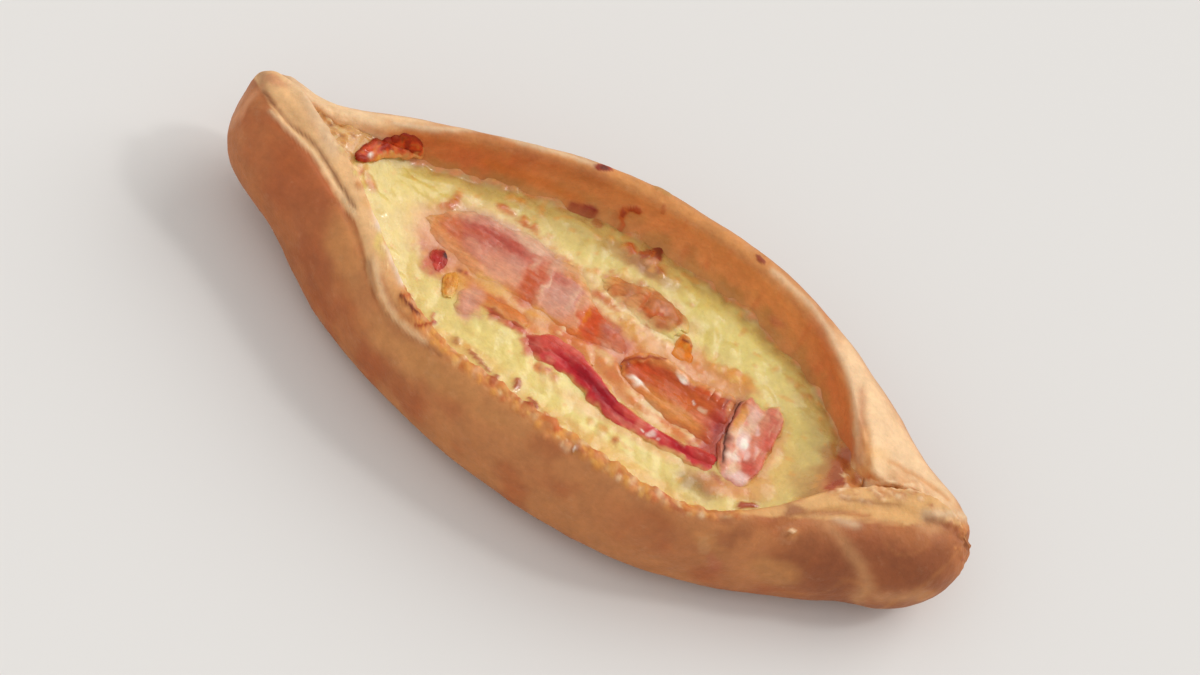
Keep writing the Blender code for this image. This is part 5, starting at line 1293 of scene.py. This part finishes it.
def sliceShape(name, spec, t, v):
    # the slice's points, the same laid flat for its noises, and half its width at each in mm. t runs along
    # the slice and v across it, both from 0 to 1.
    rows = np.array(spec["rows"], float)
    start, length = rows[0, 0], rows[-1, 0] - rows[0, 0]
    toEnd, toSide = np.abs(2 * t - 1), np.abs(2 * v - 1)
    bow = 1 - sliceOutline["cornerBow"] * toSide**4
    along = start + length * (0.5 + (t - 0.5) * mix(1, bow, toEnd**6 * min(1, 4 / length)))
    nearEdge, farEdge, nearLift, farLift = (curveThrough(rows[:, 0], rows[:, i], along) for i in (1, 2, 3,
                                                                                                  4))
    half = (farEdge - nearEdge) / 2 * (1 - sliceOutline["endNarrow"] * toEnd**14)
    plan = np.column_stack([along, (nearEdge + farEdge) / 2 + half * (2 * v - 1)]) * mm
    flat = np.column_stack([plan, np.full(len(plan), len(name) * mm)])
    ragged = np.maximum(toSide, toEnd) ** 3
    for size, amount in sliceRipples:
        plan += sway(flat, size * mm, (2.0, 6.0)) * (spec["rough"] * amount * mm * ragged)[:, None]
    lift = np.where(v < 0.5, nearLift, farLift) * toSide**2.5
    lift += spec["wave"] * (1 + np.sin(math.tau * spec["waves"] * t + 2.2 * v)) / 2
    lift += 0.3 * noiseAt(flat * np.array((0.3, 1, 1)), 2.0 * mm, 1.0) + 0.12 * noiseAt(flat, 1.6 * mm, 3.0)
    level = levelled(*plan.T)
    for path, wide, up in ridges.get(name, ()):
        lift += nearLine(level, [(*p, 0) for p in path], wide) * up
    height = cheeseHeight(*plan.T) + (lift - spec["sink"]) * mm
    return np.column_stack([plan, height]), flat, half


def sliceTone(name, spec, places, flat, inwards):
    # fat runs through the meat in thin streaks, and the meat melts into the cheese at the slice's edge
    ground = groundTone(places)
    tone = np.tile(linear(tints[spec["base"]]), (len(places), 1)) if spec["base"] else ground.copy()
    seen, jitter = asSeen(places), 0.9 * mm * sway(flat, 2.2 * mm, (11.0, 17.0))
    paintSpots(tone, seen + jitter, spec["spots"])
    turned = np.column_stack([*turnedBy(spec["turn"], flat[:, 0], flat[:, 1]), flat[:, 2]])
    streaks = noiseAt(turned * np.array((0.28, 1, 1)), 1.7 * mm, 5.0)
    tintOver(tone, "fat", spec["marble"] * ease(0.22, 0.5, streaks))
    reach, strength = spec["fade"]
    faded = strength * ease(reach * mm, 0, inwards + 0.7 * mm * noiseAt(flat, 1.9 * mm, 12.0))
    tone += (ground - tone) * faded[:, None]
    if name in darkEdgeLines:
        path, wide, tint, strength = darkEdgeLines[name]
        tintOver(tone, tint, strength * nearLine(seen + jitter * 0.5, path, wide))
    return tone


def makeSlice(name, spec):
    rows = np.array(spec["rows"])
    length, width = rows[-1, 0] - rows[0, 0], (rows[:, 2] - rows[:, 1]).max()
    bm = bmesh.new()
    bmesh.ops.create_grid(bm, x_segments=round(length / sliceCell), y_segments=round(width / sliceCell),
                          size=1)
    t, v = ((placesOf(bm)[:, i] + 1) / 2 for i in (0, 1))
    toEnd, toSide = np.abs(2 * t - 1), np.abs(2 * v - 1)
    places, flat, half = sliceShape(name, spec, t, v)
    inwards = np.minimum((1 - toSide) * half * mm, (1 - toEnd) * length / 2 * mm)
    tone = sliceTone(name, spec, places, flat, inwards)
    moveTo(bm, warped(places))
    looks = {key: spec[key] for key in ("soft", "coat") if key in spec}
    material = baconMaterial(spec["slot"].replace("_", " "), spec["turn"], **looks)
    piece = addPiece(name, bm, tone, material, [spec["replaced"]])
    group = piece.vertex_groups.new(name="thickness")
    for index, share in enumerate(mix(1, sliceRim, np.maximum(toSide**8, toEnd**10)).tolist()):
        group.add([index], share, "REPLACE")
    thicken(piece, spec["thick"] * mm, 1, use_even_offset=False, vertex_group="thickness")
    return piece


# The two small bits, in mm: place, half sizes, turn in degrees, and spots as in paintSpots
lumps = dict(
    baconRedBit=dict(
        replaced="bacon_red_bit", slot="bacon_lean", base="garnet", at=(-51, -6.6), half=(3.1, 4.2, 1.3),
        turn=20,
        spots=((-50, -4.2, 1.3, 1.3, 0, "coal", 0.9, 0.5), (-52.2, -8, 2, 1.8, 0, "leanRed", 0.7, 0.5),
               (-51, -9.4, 2, 1.2, 0, "coral", 0.8, 0.5))),
    baconFatBit=dict(
        replaced="bacon_fat_bit", slot="bacon_fat", base="gold", at=(-44.4, -12), half=(2.6, 4.6, 1.4),
        turn=12,
        spots=((-43.4, -6.8, 1.4, 0.9, 0, "ember", 0.95, 0.5),
               (-43.6, -6.8, 0.5, 0.5, 0, "darkRed", 0.9, 0.5),
               (-45.2, -12, 1.2, 2.6, 0, "honey", 0.8, 0.6),
               (-43.2, -14.6, 1.2, 1.6, 0, "cream", 0.5, 0.6))),
)


def makeLump(name, spec):
    bm = bmesh.new()
    bmesh.ops.create_icosphere(bm, subdivisions=6, radius=1)
    sphere = placesOf(bm)
    uneven = 1 + 0.3 * noiseAt(sphere, 0.8, len(name))
    uneven += 0.13 * noiseAt(sphere, 0.3, 2.0) + 0.05 * noiseAt(sphere, 0.12)
    swollen = sphere * uneven[:, None] * np.array(spec["half"]) * mm
    x, y = turnedBy(-spec["turn"], swollen[:, 0], swollen[:, 1])
    x, y = x + spec["at"][0] * mm, y + spec["at"][1] * mm
    places = np.column_stack([x, y, cheeseHeight(x, y) + swollen[:, 2]])
    tone = np.tile(linear(tints[spec["base"]]), (len(x), 1))
    paintSpots(tone, asSeen(places), spec["spots"])
    sunk = ease(0.75, 0.3, sphere[:, 2] + 0.25 * noiseAt(sphere, 0.4, 7.0))[:, None]
    tone += (groundTone(places) - tone) * sunk
    moveTo(bm, warped(places))
    return addPiece(name, bm, tone, baconMaterial(name, turn=30), [spec["replaced"]])


# A caramelised scrap baked against the far wall in the left corner, as the viewer sees it: a path, half
# widths along it, and how thick it is
scrap = dict(
    path=np.array(((-87.3, 9.1), (-84.9, 13.2), (-82.2, 17.3), (-79.4, 20.3), (-76.3, 23.0),
                   (-73.1, 24.9))) * mm,
    half=np.array((2.2, 3.3, 3.1, 3.7, 4.7, 3.6)) * mm,
    across=np.array((-0.55, 0.83)),
    grid=(40, 18),
    thick=1.2 * mm,
    off=0.3 * mm,
    curl=0.8 * mm,
    fillingSteps=12,
)
# its small spots: place along and across it from 0 to 1, and tint; the first, near white, is a painted
# highlight
scrapSpots = (0.2, 0.3, "fatAndHighlightWhite"), (0.3, 0.1, "gold"), (0.5, 0.2, "crumbGold"), (0.24, 0.75, "rose")


def seenOnFarSide(x, seenY):
    # the place on the far wall, or on the cheese in front of it, where the viewer sees a point, and which
    # way is off the surface there
    ring = crossSection(x)
    wall = ring[len(ring) - cheeseEdge : len(ring) - ringSteps["outer"] - 4]
    ys = np.linspace(wall[0][0] - 16 * mm, wall[0][0] - mm, scrap["fillingSteps"])
    filling = np.column_stack([ys, cheeseHeight(np.full(len(ys), x), ys) + 1.2 * mm])
    line = np.vstack([filling, wall])
    seen = asSeen(np.column_stack([np.full(len(line), x), line]))[:, 1]
    seen = np.maximum.accumulate(seen) + np.arange(len(seen)) * 1e-9
    place, before, after = (
        np.array([np.interp(seenY + shift, seen, line[:, i]) for i in (0, 1)]) for shift in (0, -mm, mm))
    step = after - before
    return place, np.array((-step[1], step[0])) / max(np.hypot(*step), 1e-6)


def scrapPlaces(grid):
    at = np.linspace(0, 1, len(scrap["path"]))
    places = []
    for gx, gy, _ in grid:
        t = (gx + 1) / 2
        middle = np.array([np.interp(t, at, scrap["path"][:, i]) for i in (0, 1)])
        wide = np.interp(t, at, scrap["half"]) * (1 - abs(gx) ** 8) ** 0.5
        wide *= 1 + 0.6 * noise.noise((t * 8, gy > 0, 8))
        seenX, seenY = middle + scrap["across"] * wide * gy
        place, away = seenOnFarSide(seenX, seenY)
        off = scrap["off"] + scrap["curl"] * (noise.noise((t * 9, gy * 1.8, 3)) - gy**6)
        places.append((seenX, *(place + away * off)))
    return np.array(places)


def scrapTone(places, t, v):
    patchy = noiseAt(places, 1.9 * mm, 5.0)
    ragged = v + 0.3 * patchy
    tone = np.tile(linear(tints["brick"]), (len(places), 1))
    tintOver(tone, "apricot", 0.6 * ease(0.1, 0.4, patchy))
    tintOver(tone, "maroon", 0.85 * ease(0.05, -0.25, patchy))
    tintOver(tone, "innerGold", 0.75 * ease(0.34, 0.04, ragged) * ease(0.1, 0.3, t))
    tintOver(tone, "darkRed", 0.7 * ease(0.7, 0.95, ragged))
    tintOver(tone, "darkRed", 0.8 * ease(0.1, 0.0, t))
    for spotT, spotV, tint in scrapSpots:
        tintOver(tone, tint, np.exp(-(((t - spotT) / 0.03) ** 2) - ((v - spotV) / 0.12) ** 2))
    return tone


def makeScrap():
    bm = bmesh.new()
    bmesh.ops.create_grid(bm, x_segments=scrap["grid"][0], y_segments=scrap["grid"][1], size=1)
    grid = placesOf(bm)
    places = scrapPlaces(grid)
    tone = scrapTone(places, (grid[:, 0] + 1) / 2, (grid[:, 1] + 1) / 2)
    moveTo(bm, warped(places))
    material = baconMaterial("bacon charred", turn=30, gloss=0.4, soft=0.15, coat=0.15)
    piece = addPiece("baconScrap", bm, tone, material, ["bacon_corner_scrap"])
    thicken(piece, scrap["thick"], 0)
    return piece


stageSettings = dict(floorTint=(226, 223, 219), floorHalf=3.0, floorRoughness=0.85, floorSheen=0.1,
                     fill=0.6)
# soft lights: where they come from, their strength and how wide they are in degrees
lights = dict(
    key=((0.53, 0.85, 0.80), 1.2, 50),
    front=((-0.5, -0.8, 0.85), 0.5, 80),
    glint=((0.75, 0.5, 1.1), 0.36, 8),
)
cameraSettings = dict(aim=(0, 0, 0.0245), elevation=52, roll=32, distance=1.1, seenWidth=0.3476, sensor=36)


def makeStage():
    bm = bmesh.new()
    bmesh.ops.create_grid(bm, x_segments=1, y_segments=1, size=stageSettings["floorHalf"])
    mesh = bpy.data.meshes.new("floor")
    bm.to_mesh(mesh)
    bm.free()
    floor = bpy.data.objects.new("floor", mesh)
    bpy.context.scene.collection.objects.link(floor)
    material = bpy.data.materials.new("pale floor")
    material.use_nodes = True
    shader = material.node_tree.nodes["Principled BSDF"]
    shader.inputs["Base Color"].default_value = (*linear(stageSettings["floorTint"]), 1)
    shader.inputs["Roughness"].default_value = stageSettings["floorRoughness"]
    shader.inputs["Specular IOR Level"].default_value = stageSettings["floorSheen"]
    mesh.materials.append(material)
    for name, (source, strength, width) in lights.items():
        light = bpy.data.objects.new(name + " light", bpy.data.lights.new(name + " light", "SUN"))
        light.data.energy = strength
        light.data.angle = math.radians(width)
        light.rotation_mode = "QUATERNION"
        light.rotation_quaternion = Vector(source).to_track_quat("Z", "Y")
        bpy.context.scene.collection.objects.link(light)
    world = bpy.data.worlds.new("soft fill")
    world.use_nodes = True
    world.node_tree.nodes["Background"].inputs["Color"].default_value = (1, 1, 1, 1)
    world.node_tree.nodes["Background"].inputs["Strength"].default_value = stageSettings["fill"]
    bpy.context.scene.world = world
    bpy.context.scene.view_settings.view_transform = "Standard"


def makeCamera():
    rise = math.radians(cameraSettings["elevation"])
    back = Vector((0, -math.cos(rise), math.sin(rise)))
    camera = bpy.data.objects.new("camera", bpy.data.cameras.new("camera"))
    bpy.context.scene.collection.objects.link(camera)
    camera.data.sensor_width = cameraSettings["sensor"]
    camera.data.lens = cameraSettings["sensor"] * cameraSettings["distance"] / cameraSettings["seenWidth"]
    place = Vector(cameraSettings["aim"]) + back * cameraSettings["distance"]
    look = (-back).to_track_quat("-Z", "Y").to_matrix().to_4x4()
    turn = Matrix.Rotation(math.radians(cameraSettings["roll"]), 4, "Z")
    camera.matrix_world = Matrix.Translation(place) @ look @ turn
    bpy.context.scene.camera = camera


makeStage()
makeCamera()
makeCrust()
makeCheese()
for sliceName, sliceSpec in slices.items():
    makeSlice(sliceName, sliceSpec)
for lumpName, lumpSpec in lumps.items():
    makeLump(lumpName, lumpSpec)
makeScrap()
